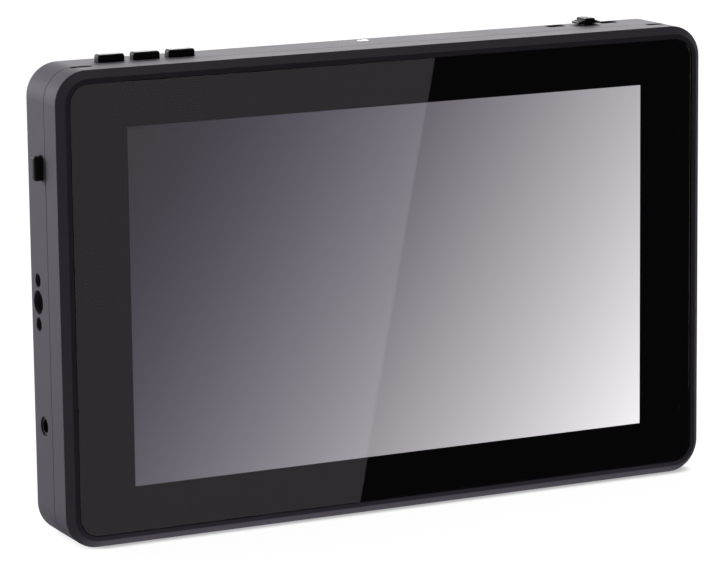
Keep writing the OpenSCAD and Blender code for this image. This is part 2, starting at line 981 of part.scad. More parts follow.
// Memory, converter and driver packages on the main board
module board_chips() {
    color("#2b2b30")
    for (chip = board_chip_places)
        facing_back(chip[0] * board_w, board_mid_z + chip[1] * board_h, board_back)
            block(chip[2], chip[3], 0, chip_t);
}

// Finned heat sink on the processor
module heat_sink() {
    color("#3b3c40")
    facing_back(processor_x, board_low_z + processor_up, board_back + chip_t) {
        block(sink_side, sink_side, 0, sink_base_t);
        for (fin = [0 : fin_count - 1])
            translate([(fin / (fin_count - 1) - 0.5) * (sink_side - fin_t), 0, 0])
                block(fin_t, sink_side, sink_base_t - loose, sink_h);
    }
}

// Picture socket: steel shell with an open mouth and a contact tongue
module picture_socket(z) {
    color("#9b9da1")
    on_right(z, board_back + picture_t / 2) {
        difference() {
            block(picture_w, picture_t, -socket_sink - picture_len, -socket_sink);
            block(picture_w - 2 * picture_wall, picture_t - 2 * picture_wall, -socket_sink - picture_bore, cut);
        }
        block(picture_tongue_w, picture_tongue_t, -socket_sink - picture_bore - join,
            -socket_sink - picture_bore + picture_tongue_len);
    }
}

module picture_input_socket() {
    picture_socket(picture_z[0]);
}

module picture_output_socket() {
    picture_socket(picture_z[1]);
}

// Small data socket with round ends
module data_socket() {
    color("#9b9da1")
    on_right(data_z, board_back + data_t / 2) {
        difference() {
            translate([0, 0, -socket_sink - data_len])
                linear_extrude(height = data_len)
                    long_hole(data_w, data_t);
            translate([0, 0, -socket_sink - data_bore])
                linear_extrude(height = data_bore + cut)
                    long_hole(data_w - 2 * data_wall, data_t - 2 * data_wall);
        }
        block(data_tongue_w, data_tongue_t, -socket_sink - data_bore - join, -socket_sink - data_tongue_sink);
    }
}

// Barrel inlet for the mains adapter, with its centre pin
module power_inlet() {
    color("#1a1a1c")
    on_right(inlet_z, board_back + inlet_t / 2)
        difference() {
            union() {
                block(inlet_w, inlet_t, -wall - inlet_len, -wall - loose);
                translate([0, 0, -wall - cut])
                    cylinder(r = inlet_r, h = wall - socket_sink + cut);
            }
            difference() {
                translate([0, 0, -socket_sink - inlet_bore])
                    cylinder(r = inlet_r - inlet_skin, h = inlet_bore + cut);
                translate([0, 0, -socket_sink - inlet_bore - cut])
                    cylinder(r = inlet_pin_r, h = inlet_pin_len + cut);
            }
        }
}

// Headphone socket with its collar and the feet on the main board
module headphone_socket() {
    leg_h = phones_depth - phones_t / 2 - board_back;
    color("#1c1c1f")
    on_left(phones_z, phones_depth)
        difference() {
            union() {
                block(phones_w, phones_t, -wall - phones_len, -wall - loose);
                translate([0, 0, -wall - cut])
                    cylinder(r = phones_collar_r, h = wall - socket_sink + cut);
                for (spot = [-wall - 2 * phones_leg_t, -wall - phones_len + phones_leg_t])
                    translate([-phones_w / 2, -phones_t / 2 - leg_h, spot - phones_leg_t / 2])
                        cube([phones_w, leg_h + loose, phones_leg_t]);
            }
            translate([0, 0, -socket_sink - phones_bore])
                cylinder(r = phones_r, h = phones_bore + cut);
        }
}

// Ribbon from the lower edge of the cell, round to the front of the main board
module panel_ribbon() {
    start = cell_depth + cell_t / 2;
    low = panel_low_z - loose - ribbon_t;
    high = board_low_z + ribbon_lap;
    color("#b9772e")
    translate([-ribbon_w / 2, at(0), 0])
        rotate([90, 0, 90])
            linear_extrude(height = ribbon_w)
                polygon([
                    [start, low], [board_depth, low], [board_depth, high],
                    [board_depth - ribbon_t, high], [board_depth - ribbon_t, low + ribbon_t],
                    [start, low + ribbon_t]
                ]);
}

// Straight ribbon from a small board down to the back of the main board
module board_ribbon(x, high) {
    color("#b9772e")
    layer(board_back, board_back + ribbon_t)
        translate([x - small_ribbon_w / 2, board_low_z + board_h - ribbon_lap])
            square([small_ribbon_w, high - board_low_z - board_h + ribbon_lap]);
}

module key_ribbon() {
    board_ribbon(key_x[1], body_h + key_board_top - key_board_t);
}

module lever_ribbon() {
    board_ribbon(lever_x, body_h + lever_board_top - key_board_t);
}

// Small board hung from two posts, in the frame of a face
module small_board(from, to, back, front, top) {
    translate([from, front, top - key_board_t])
        cube([to - from, back - front, key_board_t]);
}

// Board under the three top keys
module key_board() {
    color("#1f5b3a")
    difference() {
        on_top(0, 0)
            small_board(key_x[0] - key_board_end, key_x[2] + key_board_end,
                top_board_back, top_board_depth, key_board_top);
        for (x = key_post_x)
            on_top(x, post_depth)
                translate([0, 0, key_board_top - key_board_t - cut])
                    cylinder(r = small_screw_r + loose, h = key_board_t + 2 * cut);
    }
}

// Switches under the three top keys
module key_switches() {
    color("#2a2a2e")
    for (x = key_x)
        on_top(x, key_depth)
            switch_body();
}

module top_key(index) {
    color("#0b0b0d")
    on_top(key_x[index], key_depth)
        key_cap(key_w, key_t, key_rise);
}

module top_key_1() {
    top_key(0);
}

module top_key_2() {
    top_key(1);
}

module top_key_3() {
    top_key(2);
}

// Board behind the power key
module power_key_board() {
    color("#1f5b3a")
    difference() {
        on_left(power_z, power_board_depth)
            small_board(power_post_z[0] - post_side / 2, power_post_z[1] + post_side / 2,
                power_board_w, 0, key_board_top);
        for (shift = power_post_z)
            on_left(power_z + shift, power_board_depth + power_board_w / 2)
                translate([0, 0, key_board_top - key_board_t - cut])
                    cylinder(r = small_screw_r + loose, h = key_board_t + 2 * cut);
    }
}

module power_key_switch() {
    color("#2a2a2e")
    on_left(power_z, power_depth)
        switch_body();
}

module power_key() {
    color("#0b0b0d")
    on_left(power_z, power_depth)
        key_cap(power_w, power_t, power_rise);
}

// Board under the menu lever
module lever_board() {
    color("#1f5b3a")
    difference() {
        on_top(0, 0)
            small_board(lever_post_x[0] - post_side / 2, lever_post_x[1] + post_side / 2,
                top_board_back, top_board_depth, lever_board_top);
        for (x = lever_post_x)
            on_top(x, post_depth)
                translate([0, 0, lever_board_top - key_board_t - cut])
                    cylinder(r = small_screw_r + loose, h = key_board_t + 2 * cut);
    }
}

// Trough in which the lever's slider runs
module lever_switch() {
    inner_w = slider_w + 2 * lever_travel + 2 * loose;
    inner_t = slider_t + 2 * loose;
    floor_z = slider_top - slider_h - fit;
    color("#2a2a2e")
    on_top(lever_x, lever_depth)
        difference() {
            block(inner_w + 2 * lever_switch_wall, inner_t + lever_switch_wall, lever_board_top,
                lever_switch_top);
            block(inner_w, inner_t, floor_z, lever_switch_top + cut);
        }
}

// Slider that the lever's stem stands in
module lever_slider() {
    color("#e6e6e2")
    on_top(lever_x, lever_depth)
        difference() {
            block(slider_w, slider_t, slider_top - slider_h, slider_top);
            block(lever_stem + 2 * fit, lever_stem + 2 * fit, slider_top - slider_well, slider_top + cut);
        }
}

// Ridged cap of the lever with its stem
module lever_cap() {
    crest = lever_rise - lever_gap;
    pitch = (lever_w - 2 * key_corner_r) / lever_rib_count;
    color("#0b0b0d")
    on_top(lever_x, lever_depth) {
        block(lever_stem, lever_stem, lever_stem_end, lever_gap + loose);
        translate([0, 0, lever_gap])
            linear_extrude(height = lever_base_t)
                round_rect(lever_w, lever_t, key_corner_r);
        for (rib = [0 : lever_rib_count - 1]) {
            place = rib - (lever_rib_count - 1) / 2;
            top = lever_gap + crest * (1 - 0.03 * pow(place, 4));
            depth = lever_t * (1 - 0.04 * place * place);
            translate([place * pitch, 0, 0])
                block(lever_rib_w, depth, lever_gap + lever_base_t - loose, top);
            translate([place * pitch, 0, 0])
                block(pitch + loose, depth, lever_gap + lever_base_t - loose, top - lever_groove);
        }
    }
}

// White window that shines when the monitor is selected
module signal_window() {
    color("#f4f4f0")
    on_top(window_x, window_depth) {
        block(window_w, window_t, -wall - loose, 0);
        block(window_w + 2 * window_flange, window_t + window_flange, -wall - window_flange_t, -wall);
    }
}

// Fan frame with its duct, spokes and axle
module fan_frame() {
    color("#161618")
    facing_back(fan_x, fan_z, fan_depth) {
        difference() {
            block(fan_side, fan_side, 0, fan_t);
            translate([0, 0, -cut])
                cylinder(r = duct_r, h = fan_t + 2 * cut);
            for (sx = [-1, 1], sy = [-1, 1])
                translate([sx * fan_screw_pitch / 2, sy * fan_screw_pitch / 2, -cut])
                    cylinder(r = small_screw_r + loose, h = fan_t + 2 * cut);
        }
        for (turn = [0 : 120 : 240])
            rotate([0, 0, turn])
                translate([0, -spoke_w / 2, 0])
                    cube([duct_r + join, spoke_w, spoke_t]);
        cylinder(r = stator_r, h = spoke_t);
        cylinder(r = axle_r, h = rotor_base + rotor_t - rotor_gap);
    }
}

// Fan rotor with its blades
module fan_rotor() {
    tip_r = duct_r - blade_gap;
    color("#0f0f11")
    facing_back(fan_x, fan_z, fan_depth + rotor_base)
        difference() {
            union() {
                cylinder(r = hub_r, h = rotor_t);
                intersection() {
                    cylinder(r = tip_r, h = rotor_t);
                    for (blade = [0 : blade_count - 1])
                        rotate([0, 0, blade * 360 / blade_count])
                            translate([hub_r - join, 0, rotor_t / 2])
                                rotate([blade_pitch, 0, 0])
                                    translate([0, -rotor_t, -blade_t / 2])
                                        cube([tip_r, 2 * rotor_t, blade_t]);
                }
            }
            translate([0, 0, -cut])
                cylinder(r = axle_r + fit, h = rotor_t + cut - rotor_gap / 2);
        }
}

// Battery plate with its two rails and four hooks
module battery_plate() {
    hook_top = hook_gap + hook_t;
    color("#19191b")
    difference() {
        union() {
            facing_back(0, mount_mid_z, body_d)
                linear_extrude(height = mount_t)
                    round_rect(mount_w, mount_h, mount_r);
            for (side = [-1, 1]) {
                facing_back(side * (mount_w - rail_t) / 2, mount_mid_z, body_d)
                    block(rail_t, mount_h - 2 * rail_end, 0, mount_t + hook_top);
                for (z = hook_z)
                    facing_back(side * (mount_w - rail_t - hook_reach) / 2, z, mount_back + hook_gap)
                        block(rail_t + hook_reach, hook_len, 0, hook_t);
            }
        }
        facing_back(0, block_z, body_d - cut)
            block(block_w + 2 * loose, block_h + 2 * loose, 0, mount_t + 2 * cut);
        facing_back(0, latch_z, body_d - cut)
            block(latch_w + 2 * latch_play, latch_h + 2 * latch_play, 0, mount_t + 2 * cut);
        for (sx = [-1, 1], z = plate_screw_z)
            translate([sx * plate_screw_x, 0, z]) {
                bar(small_screw_r + loose, body_d - cut, mount_back + hook_top);
                bar(small_head_r + loose, mount_back - small_head_h, mount_back + hook_top);
            }
    }
}

// Block that stands on the main board and holds the battery contacts
module contact_block() {
    color("#101012")
    difference() {
        facing_back(0, block_z, board_back)
            block(block_w, block_h, 0, mount_back + block_rise - board_back);
        for (x = contact_x)
            translate([x - contact_t / 2 - fit, at(contact_depth) - contact_h / 2 - fit, block_z + block_h / 2 - contact_root])
                cube([contact_t + 2 * fit, contact_h + 2 * fit, contact_root + cut]);
    }
}

// Three contact blades, pointing up to the battery
module battery_contacts() {
    color("#c9a24a")
    for (x = contact_x)
        translate([x - contact_t / 2, at(contact_depth) - contact_h / 2, block_z + block_h / 2 - contact_root])
            cube([contact_t, contact_h, contact_root + contact_len]);
}

// Sprung latch with the tooth that stops the battery
module battery_latch() {
    color("#2c2c30")
    facing_back(0, latch_z, latch_seat - latch_flange) {
        block(latch_w + 2 * latch_lip, latch_h + 2 * latch_lip, 0, latch_flange);
        block(latch_w, latch_h, 0, latch_flange + mount_back - latch_seat);
        translate([0, latch_h / 2 - tooth_t / 2, 0])
            block(latch_w, tooth_t, 0, latch_flange + mount_back - latch_seat + tooth_rise);
    }
}

// Spring behind the latch
module latch_spring() {
    color("#b9bcc0")
    translate([0, 0, latch_z])
        difference() {
            bar(spring_r, spring_depth, spring_depth + spring_len);
            bar(spring_r - spring_wire, spring_depth - cut, spring_depth + spring_len + cut);
        }
}

// Steel bridge that the spring stands on
module latch_bracket() {
    color("#a9acb0")
    difference() {
        facing_back(0, latch_z, bracket_depth)
            block(bracket_w, 2 * (spring_r + bracket_rim), 0, bracket_t);
        for (side = [-1, 1])
            translate([side * (bracket_w - post_side) / 2, 0, latch_z])
                bar(small_screw_r + loose, bracket_depth - cut, bracket_depth + bracket_t + cut);
    }
}

// Four long screws that close the casing
module casing_screws() {
    head_depth = body_d - casing_head_sink - casing_head_h;
    color("#3c3c40")
    at_casing_screws()
        facing_back(0, 0, head_depth)
            screw(casing_screw_r, head_depth - casing_screw_end, casing_head_r, casing_head_h);
}

// Screws that hold the main board
module board_screws() {
    color("#8f9296")
    for (spot = board_screw_spots)
        facing_back(spot.x, board_mid_z + spot.y, board_back)
            screw(small_screw_r, board_t + standoff_h, small_head_r, small_head_h);
}

// Screws that hold the three small boards and the latch bracket
module key_board_screws() {
    color("#8f9296") {
        for (x = key_post_x)
            on_top(x, post_depth)
                post_screw(key_board_top);
        for (x = lever_post_x)
            on_top(x, post_depth)
                post_screw(lever_board_top);
        for (shift = power_post_z)
            on_left(power_z + shift, power_board_depth + power_board_w / 2)
                post_screw(key_board_top);
        for (side = [-1, 1])
            translate([side * (bracket_w - post_side) / 2, at(bracket_depth), latch_z])
                rotate([90, 0, 0])
                    screw(small_screw_r, small_screw_len, small_head_r, small_head_h);
    }
}

// Screws that hold the fan
module fan_screws() {
    color("#8f9296")
    for (sx = [-1, 1], sz = [-1, 1])
        translate([fan_x + sx * fan_screw_pitch / 2, at(fan_depth), fan_z + sz * fan_screw_pitch / 2])
            rotate([90, 0, 0])
                screw(small_screw_r, fan_t + wall - fan_screw_cover, small_head_r, small_head_h);
}

// Screws that hold the battery plate
module plate_screws() {
    color("#3c3c40")
    for (sx = [-1, 1], z = plate_screw_z)
        facing_back(sx * plate_screw_x, z, mount_back - small_head_h)
            screw(small_screw_r, wall + mount_t - small_head_h - loose, small_head_r, small_head_h);
}

front_frame();
rear_shell();
cover_glass();
border_mask();
glass_tape();
display_cell();
light_guide();
light_tray();
status_light_pipe();
middle_plate();
main_board();
processor();
board_chips();
heat_sink();
picture_input_socket();
picture_output_socket();
data_socket();
power_inlet();
headphone_socket();
panel_ribbon();
key_ribbon();
lever_ribbon();
key_board();
key_switches();
top_key_1();
top_key_2();
top_key_3();
power_key_board();
power_key_switch();
power_key();
lever_board();
lever_switch();
lever_slider();
lever_cap();
signal_window();
fan_frame();
fan_rotor();
battery_plate();
contact_block();
battery_contacts();
battery_latch();
latch_spring();
latch_bracket();
casing_screws();
board_screws();
key_board_screws();
fan_screws();
plate_screws();
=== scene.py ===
"""Finishes, fine details and studio for a seven inch camera field monitor.

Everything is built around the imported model, whose pieces keep their places.
"""

import json
import math

import bmesh
import bpy
from bpy.props import FloatProperty, FloatVectorProperty, IntProperty, PointerProperty
from mathutils import Matrix, Vector


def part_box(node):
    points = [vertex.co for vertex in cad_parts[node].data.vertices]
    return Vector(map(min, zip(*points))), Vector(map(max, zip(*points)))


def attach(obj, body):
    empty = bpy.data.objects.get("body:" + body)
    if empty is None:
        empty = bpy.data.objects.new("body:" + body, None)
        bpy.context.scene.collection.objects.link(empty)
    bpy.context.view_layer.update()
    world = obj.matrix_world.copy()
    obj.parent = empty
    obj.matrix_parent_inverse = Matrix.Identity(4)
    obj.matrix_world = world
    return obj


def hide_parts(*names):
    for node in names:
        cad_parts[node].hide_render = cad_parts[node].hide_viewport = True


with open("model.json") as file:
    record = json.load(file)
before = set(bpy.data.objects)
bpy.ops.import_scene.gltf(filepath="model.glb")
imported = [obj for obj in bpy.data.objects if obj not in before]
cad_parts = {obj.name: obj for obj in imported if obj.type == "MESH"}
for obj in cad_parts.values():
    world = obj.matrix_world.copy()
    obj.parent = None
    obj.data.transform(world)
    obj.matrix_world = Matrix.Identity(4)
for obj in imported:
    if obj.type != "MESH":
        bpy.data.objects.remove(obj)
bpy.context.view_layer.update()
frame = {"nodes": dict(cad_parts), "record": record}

bl_info = {
    "name": "Camera Field Monitor",
    "version": (1, 0, 0),
    "blender": (4, 5, 0),
    "location": "3D View > Sidebar > Field Monitor",
    "description": "Finishes, fine details and studio for a seven inch camera field monitor",
    "category": "Object",
}

MM = 0.001
NODES = frame["nodes"]
BODY_OF_NODE = {
    node: body for body, nodes in frame["record"]["behaviour"]["bodies"].items() for node in nodes
}

# Places of the model, in metres, in its own frame
GLASS_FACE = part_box("cover_glass")[0].y
CASING_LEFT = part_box("rear_shell")[0].x
CASING_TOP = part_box("front_frame")[1].z
SCREEN_MIDDLE = sum(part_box("display_cell"), Vector()) / 2
PICTURE_WIDE, PICTURE_HIGH = 150.72 * MM, 94.2 * MM
SIDE_SOCKET_Z = 62.8 * MM
LEVER_X = sum(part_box("lever_switch"), Vector()).x / 2

# The two dark marks beside the lever. Near and far are their ends, from the middle between them.
MARKS_X, MARKS_Y = LEVER_X - 0.7 * MM, 1.8 * MM
MARK_NEAR, MARK_FAR = 5.63 * MM, 10.77 * MM
MARK_HALF_DEEP, MARK_ROUNDING = 1.87 * MM, 0.77 * MM
MARK_LOW, MARK_HIGH = CASING_TOP - 0.31 * MM, CASING_TOP - 0.01 * MM
MARK_CORNER_STEPS = 6

# How far a film or rod behind the glass is set into it, and how near to the glass a corner has
# to lie to be moved
BOND_DEPTH, BOND_REACH = 0.03 * MM, 0.01 * MM

# Thread of the tripod sockets. The ridge is measured in pitches, its run-out in turns.
THREAD_OUTER_R, THREAD_INNER_R = 3.19 * MM, 2.62 * MM
THREAD_MOUTHS = (
    ("bottom_thread_turns", (0.0, 0.0, 0.0), (0, 0, 1)),
    ("side_thread_turns", (CASING_LEFT, 0.0, SIDE_SOCKET_Z), (1, 0, 0)),
)
RIDGE_HALF_ROOT, RIDGE_HALF_CREST = 0.40, 0.08
RIDGE_START, RIDGE_RUN_OUT = 0.6, 0.4

# Tongue of each socket: width, thickness, how far its tip and its root lie behind the mouth,
# and how many contacts are in a row
TONGUES = {
    "picture_input": (11.4 * MM, 1.0 * MM, 1.5 * MM, 9.0 * MM, 10),
    "picture_output": (11.4 * MM, 1.0 * MM, 1.5 * MM, 9.0 * MM, 10),
    "data": (6.6 * MM, 0.7 * MM, 1.1 * MM, 7.0 * MM, 12),
}
SLEEVE_T, SLEEVE_LAP = 0.06 * MM, 0.05 * MM
CONTACT_HALF_T, CONTACT_SET_BACK = 0.05 * MM, 0.5 * MM
CONTACT_MARGIN, CONTACT_SHARE = 1.2 * MM, 0.28
# Faces of a block, by its corners
BLOCK_FACES = ((0, 1, 3, 2), (4, 6, 7, 5), (0, 4, 5, 1), (2, 3, 7, 6), (0, 2, 6, 4), (1, 5, 7, 3))
# Rings of the inlet's pin sleeve: millimetres behind the mouth, and share of its radius
PIN_RADIUS, PIN_STEPS = 1.1 * MM, 28
PIN_RINGS = ((9.5, 1.0), (1.45, 1.0), (1.2, 0.93), (1.05, 0.75), (1.0, 0.5))

# Looks that more than one piece shares
WHITE = (1.0, 1.0, 1.0, 1.0)
MID_GREY = (0.5, 0.5, 0.5, 1.0)
# Painted shade: the near black laid into hollows, and how far a piece is searched for walls that
# close round a point
PAINTED_SHADE_BLACK = (0.002, 0.002, 0.002, 1.0)
PAINTED_SHADE_REACH = 0.003
GOLD = (0.83, 0.6, 0.26)
# Strength of the screen's glow, which carries a painted reflection
SCREEN_GLOW_STRENGTH, DISPLAY_GAMMA = 1.09, 2.2

# Studio. The card's edge mirrors in the glass along the line between these two points.
FLOOR_HALF = 4.0
# How far the painted shade on the floor reaches from the monitor
FLOOR_PAINTED_SHADE_REACH = 0.0028
CARD_EDGE_HIGH = Vector((12.4 * MM, GLASS_FACE, 120.9 * MM))
CARD_EDGE_LOW = Vector((-10.2 * MM, GLASS_FACE, 7.4 * MM))
CARD_LIFT, CARD_WIDE = 0.0004, 3.0
CARD_BEFORE, CARD_BEYOND = 0.3, 2.5
LAMP_TARGET = Vector((0.0, 0.0, 0.06))


# -----------------------------------------------------------------------------
# Settings that a user would change
# -----------------------------------------------------------------------------


def colour(name, description, default):
    return FloatVectorProperty(
        name=name,
        description=description,
        default=default,
        size=3,
        min=0.0,
        max=1.0,
        subtype="COLOR",
    )


def length(name, description, default):
    return FloatProperty(
        name=name,
        description=description,
        default=default,
        min=0.0,
        precision=5,
        subtype="DISTANCE",
        unit="LENGTH",
    )


def share(name, description, default):
    return FloatProperty(
        name=name, description=description, default=default, min=0.0, max=1.0, subtype="FACTOR"
    )


class MonitorFinishSettings(bpy.types.PropertyGroup):
    casing_color: colour(
        "Casing colour", "Matte anodised finish of both casing halves", (0.101, 0.087, 0.126)
    )
    casing_roughness: share("Casing roughness", "Bead blasted anodised aluminium", 0.6)
    casing_grain: length("Casing grain", "Size of the blasted grain", 0.0004)
    key_color: colour(
        "Key colour", "Black moulded plastic of keys and lever", (0.0145, 0.014, 0.015)
    )
    key_roughness: share("Key roughness", "Satin moulded plastic", 0.36)
    border_color: colour(
        "Border colour", "Black print behind the cover glass", (0.0035, 0.0033, 0.0038)
    )
    # The screen's glow: its slant from a dark upper left to a bright lower right is a painted
    # reflection
    glow_sheen_dark: colour(
        "Picture dark corner",
        "Levels of the plain picture at its upper left",
        (0.044, 0.024, 0.070),
    )
    glow_sheen_bright: colour(
        "Picture bright corner", "Levels at its lower right", (0.962, 0.948, 0.955)
    )
    glow_sheen_across: share("Picture slant", "How much of the rise runs across, and not down", 0.71)
    board_color: colour("Board colour", "Solder mask of the circuit boards", (0.012, 0.075, 0.036))
    thread_pitch: length("Thread pitch", "Rise of the tripod thread in one turn", 0.00127)
    thread_turns: IntProperty(
        name="Thread turns", description="Turns of the tripod thread", default=5, min=1
    )


class MonitorStudioSettings(bpy.types.PropertyGroup):
    camera_place: FloatVectorProperty(
        name="Camera place",
        description="Where the camera stands",
        default=(-0.44047, -0.90512, 0.25344),
        size=3,
        precision=4,
        subtype="XYZ_LENGTH",
        unit="LENGTH",
    )
    camera_yaw: FloatProperty(
        name="Camera yaw",
        description="Turn of the view from straight on towards the right",
        default=math.radians(25.865),
        subtype="ANGLE",
        unit="ROTATION",
    )
    camera_pitch: FloatProperty(
        name="Camera pitch",
        description="How far the view points down",
        default=math.radians(10.918),
        subtype="ANGLE",
        unit="ROTATION",
    )
    camera_roll: FloatProperty(
        name="Camera roll",
        description="Turn of the picture about the view",
        default=math.radians(-0.673),
        subtype="ANGLE",
        unit="ROTATION",
    )
    camera_lens: FloatProperty(
        name="Lens", description="Focal length in millimetres", default=189.69, min=1.0
    )
    floor_mirror: share(
        "Floor in reflections", "Brightness of the floor that the glass mirrors", 0.66
    )
    top_power: FloatProperty(
        name="Top lamp",
        description="Power of the soft box above and behind",
        default=3.8,
        subtype="POWER",
        unit="POWER",
    )
    left_power: FloatProperty(
        name="Left lamp",
        description="Power of the soft box at the left",
        default=10.5,
        subtype="POWER",
        unit="POWER",
    )
    back_power: FloatProperty(
        name="Back lamp",
        description="Power of the soft box behind",
        default=9.0,
        subtype="POWER",
        unit="POWER",
    )


# -----------------------------------------------------------------------------
# Nodes
# -----------------------------------------------------------------------------

MIX_FACTOR, MIX_A, MIX_B, MIX_RESULT = 0, 6, 7, 2


def put(tree, kind, inputs=None, **attributes):
    """Adds a node. An input is a value, or the output that feeds it."""
    node = tree.nodes.new(kind)
    for name, value in attributes.items():
        setattr(node, name, value)
    for socket, value in (inputs or {}).items():
        if isinstance(value, bpy.types.NodeSocket):
            tree.links.new(value, node.inputs[socket])
        else:
            node.inputs[socket].default_value = value
    return node


def math_node(tree, operation, a, b=0.0, c=None, clamp=False):
    inputs = {0: a, 1: b}
    if c is not None:
        inputs[2] = c
    return put(tree, "ShaderNodeMath", inputs, operation=operation, use_clamp=clamp).outputs[0]


def mix_colors(tree, factor, a, b, blend="MIX"):
    node = put(
        tree,
        "ShaderNodeMix",
        {MIX_FACTOR: factor, MIX_A: a, MIX_B: b},
        data_type="RGBA",
        blend_type=blend,
    )
    return node.outputs[MIX_RESULT]


def map_range(tree, value, from_min, from_max, to_min=0.0, to_max=1.0, kind="LINEAR"):
    """Carries a value over from one range to another, and holds it at the ends."""
    ends = {"From Min": from_min, "From Max": from_max, "To Min": to_min, "To Max": to_max}
    node = put(tree, "ShaderNodeMapRange", {"Value": value, **ends}, interpolation_type=kind)
    return node.outputs["Result"]


def noise(tree, place, scale, detail):
    inputs = {"Vector": place, "Scale": scale, "Detail": detail}
    return put(tree, "ShaderNodeTexNoise", inputs).outputs["Fac"]


def grey_of(tree, value):
    return put(tree, "ShaderNodeCombineColor", {0: value, 1: value, 2: value}).outputs[0]


def emission(tree, color, strength):
    return put(tree, "ShaderNodeEmission", {"Color": color, "Strength": strength}).outputs[0]


def rgba(color):
    return (*color[:3], 1.0)


def new_group(name, inputs, outputs):
    """A shader node group with named sockets. Returns its tree, its inputs and its output node."""
    tree = bpy.data.node_groups.new(name, "ShaderNodeTree")
    for label, kind, default in inputs:
        tree.interface.new_socket(label, in_out="INPUT", socket_type=kind).default_value = default
    for label, kind in outputs:
        tree.interface.new_socket(label, in_out="OUTPUT", socket_type=kind)
    return tree, tree.nodes.new("NodeGroupInput").outputs, tree.nodes.new("NodeGroupOutput")


def object_place(tree):
    return put(tree, "ShaderNodeTexCoord").outputs["Object"]


def grain_group():
    """Fine grain with a slow mottle, for blasted, moulded and printed surfaces."""
    name = "Surface Grain"
    if name in bpy.data.node_groups:
        return bpy.data.node_groups[name]
    tree, given, out = new_group(
        name,
        [
            ("Color", "NodeSocketColor", MID_GREY),
            ("Roughness", "NodeSocketFloat", 0.5),
            ("Grain Size", "NodeSocketFloat", 0.0004),
            ("Mottle", "NodeSocketFloat", 0.1),
            ("Roughness Change", "NodeSocketFloat", 0.1),
        ],
        [
            ("Color", "NodeSocketColor"),
            ("Roughness", "NodeSocketFloat"),
            ("Height", "NodeSocketFloat"),
        ],
    )
    place = object_place(tree)
    scale = math_node(tree, "DIVIDE", 1.0, given["Grain Size"])
    slow_scale = math_node(tree, "MULTIPLY", scale, 0.03)
    fine = noise(tree, place, scale, 2.0)
    slow = noise(tree, place, slow_scale, 4.0)
    both = math_node(tree, "ADD", fine, slow)
    change = math_node(
        tree, "MULTIPLY_ADD", math_node(tree, "SUBTRACT", both, 1.0), given["Mottle"], 1.0
    )
    color = mix_colors(tree, 1.0, given["Color"], grey_of(tree, change), "MULTIPLY")
    centred = math_node(tree, "SUBTRACT", slow, 0.5)
    rough = math_node(
        tree, "MULTIPLY_ADD", centred, given["Roughness Change"], given["Roughness"], clamp=True
    )
    tree.links.new(color, out.inputs["Color"])
    tree.links.new(rough, out.inputs["Roughness"])
    tree.links.new(fine, out.inputs["Height"])
    return tree


def worn_edges_group():
    """Finds the edges of a piece, softens their shading and lays a worn colour along them."""
    name = "Worn Edges"
    if name in bpy.data.node_groups:
        return bpy.data.node_groups[name]
    tree, given, out = new_group(
        name,
        [
            ("Color", "NodeSocketColor", MID_GREY),
            ("Bare Color", "NodeSocketColor", (0.7, 0.7, 0.7, 1.0)),
            ("Edge Width", "NodeSocketFloat", 0.0003),
            ("Wear", "NodeSocketFloat", 0.3),
        ],
        [("Color", "NodeSocketColor"), ("Normal", "NodeSocketVector")],
    )
    rounded = put(
        tree, "ShaderNodeBevel", {"Radius": given["Edge Width"]}, samples=4
    ).outputs["Normal"]
    flat = put(tree, "ShaderNodeNewGeometry").outputs["Normal"]
    together = put(
        tree, "ShaderNodeVectorMath", {0: rounded, 1: flat}, operation="DOT_PRODUCT"
    ).outputs["Value"]
    edge = map_range(tree, together, 0.97, 0.75)
    broken = map_range(tree, noise(tree, object_place(tree), 900.0, 3.0), 0.35, 0.6)
    patchy = math_node(tree, "MULTIPLY", edge, broken)
    mask = math_node(tree, "MULTIPLY", patchy, given["Wear"], clamp=True)
    tree.links.new(mix_colors(tree, mask, given["Color"], given["Bare Color"]), out.inputs["Color"])
    tree.links.new(rounded, out.inputs["Normal"])
    return tree


def painted_cavity_shade_group():
    """Paints shade into slots, holes and the narrow gaps of a piece: the more the piece closes
    round a point, the darker.
    """
    name = "Cavity Shade"
    if name in bpy.data.node_groups:
        return bpy.data.node_groups[name]
    tree, given, out = new_group(
        name,
        [
            ("Color", "NodeSocketColor", MID_GREY),
            ("Reach", "NodeSocketFloat", PAINTED_SHADE_REACH),
            ("Darkness", "NodeSocketFloat", 0.9),
        ],
        [("Color", "NodeSocketColor")],
    )
    # Only the piece itself counts, so that the floor doesn't darken the lower edge
    occlusion = put(
        tree, "ShaderNodeAmbientOcclusion", {"Distance": given["Reach"]}, samples=6, only_local=True
    )
    closed = map_range(tree, occlusion.outputs["AO"], 0.6, 0.2)
    shade = math_node(tree, "MULTIPLY", closed, given["Darkness"])
    tree.links.new(mix_colors(tree, shade, given["Color"], PAINTED_SHADE_BLACK), out.inputs["Color"])
    return tree


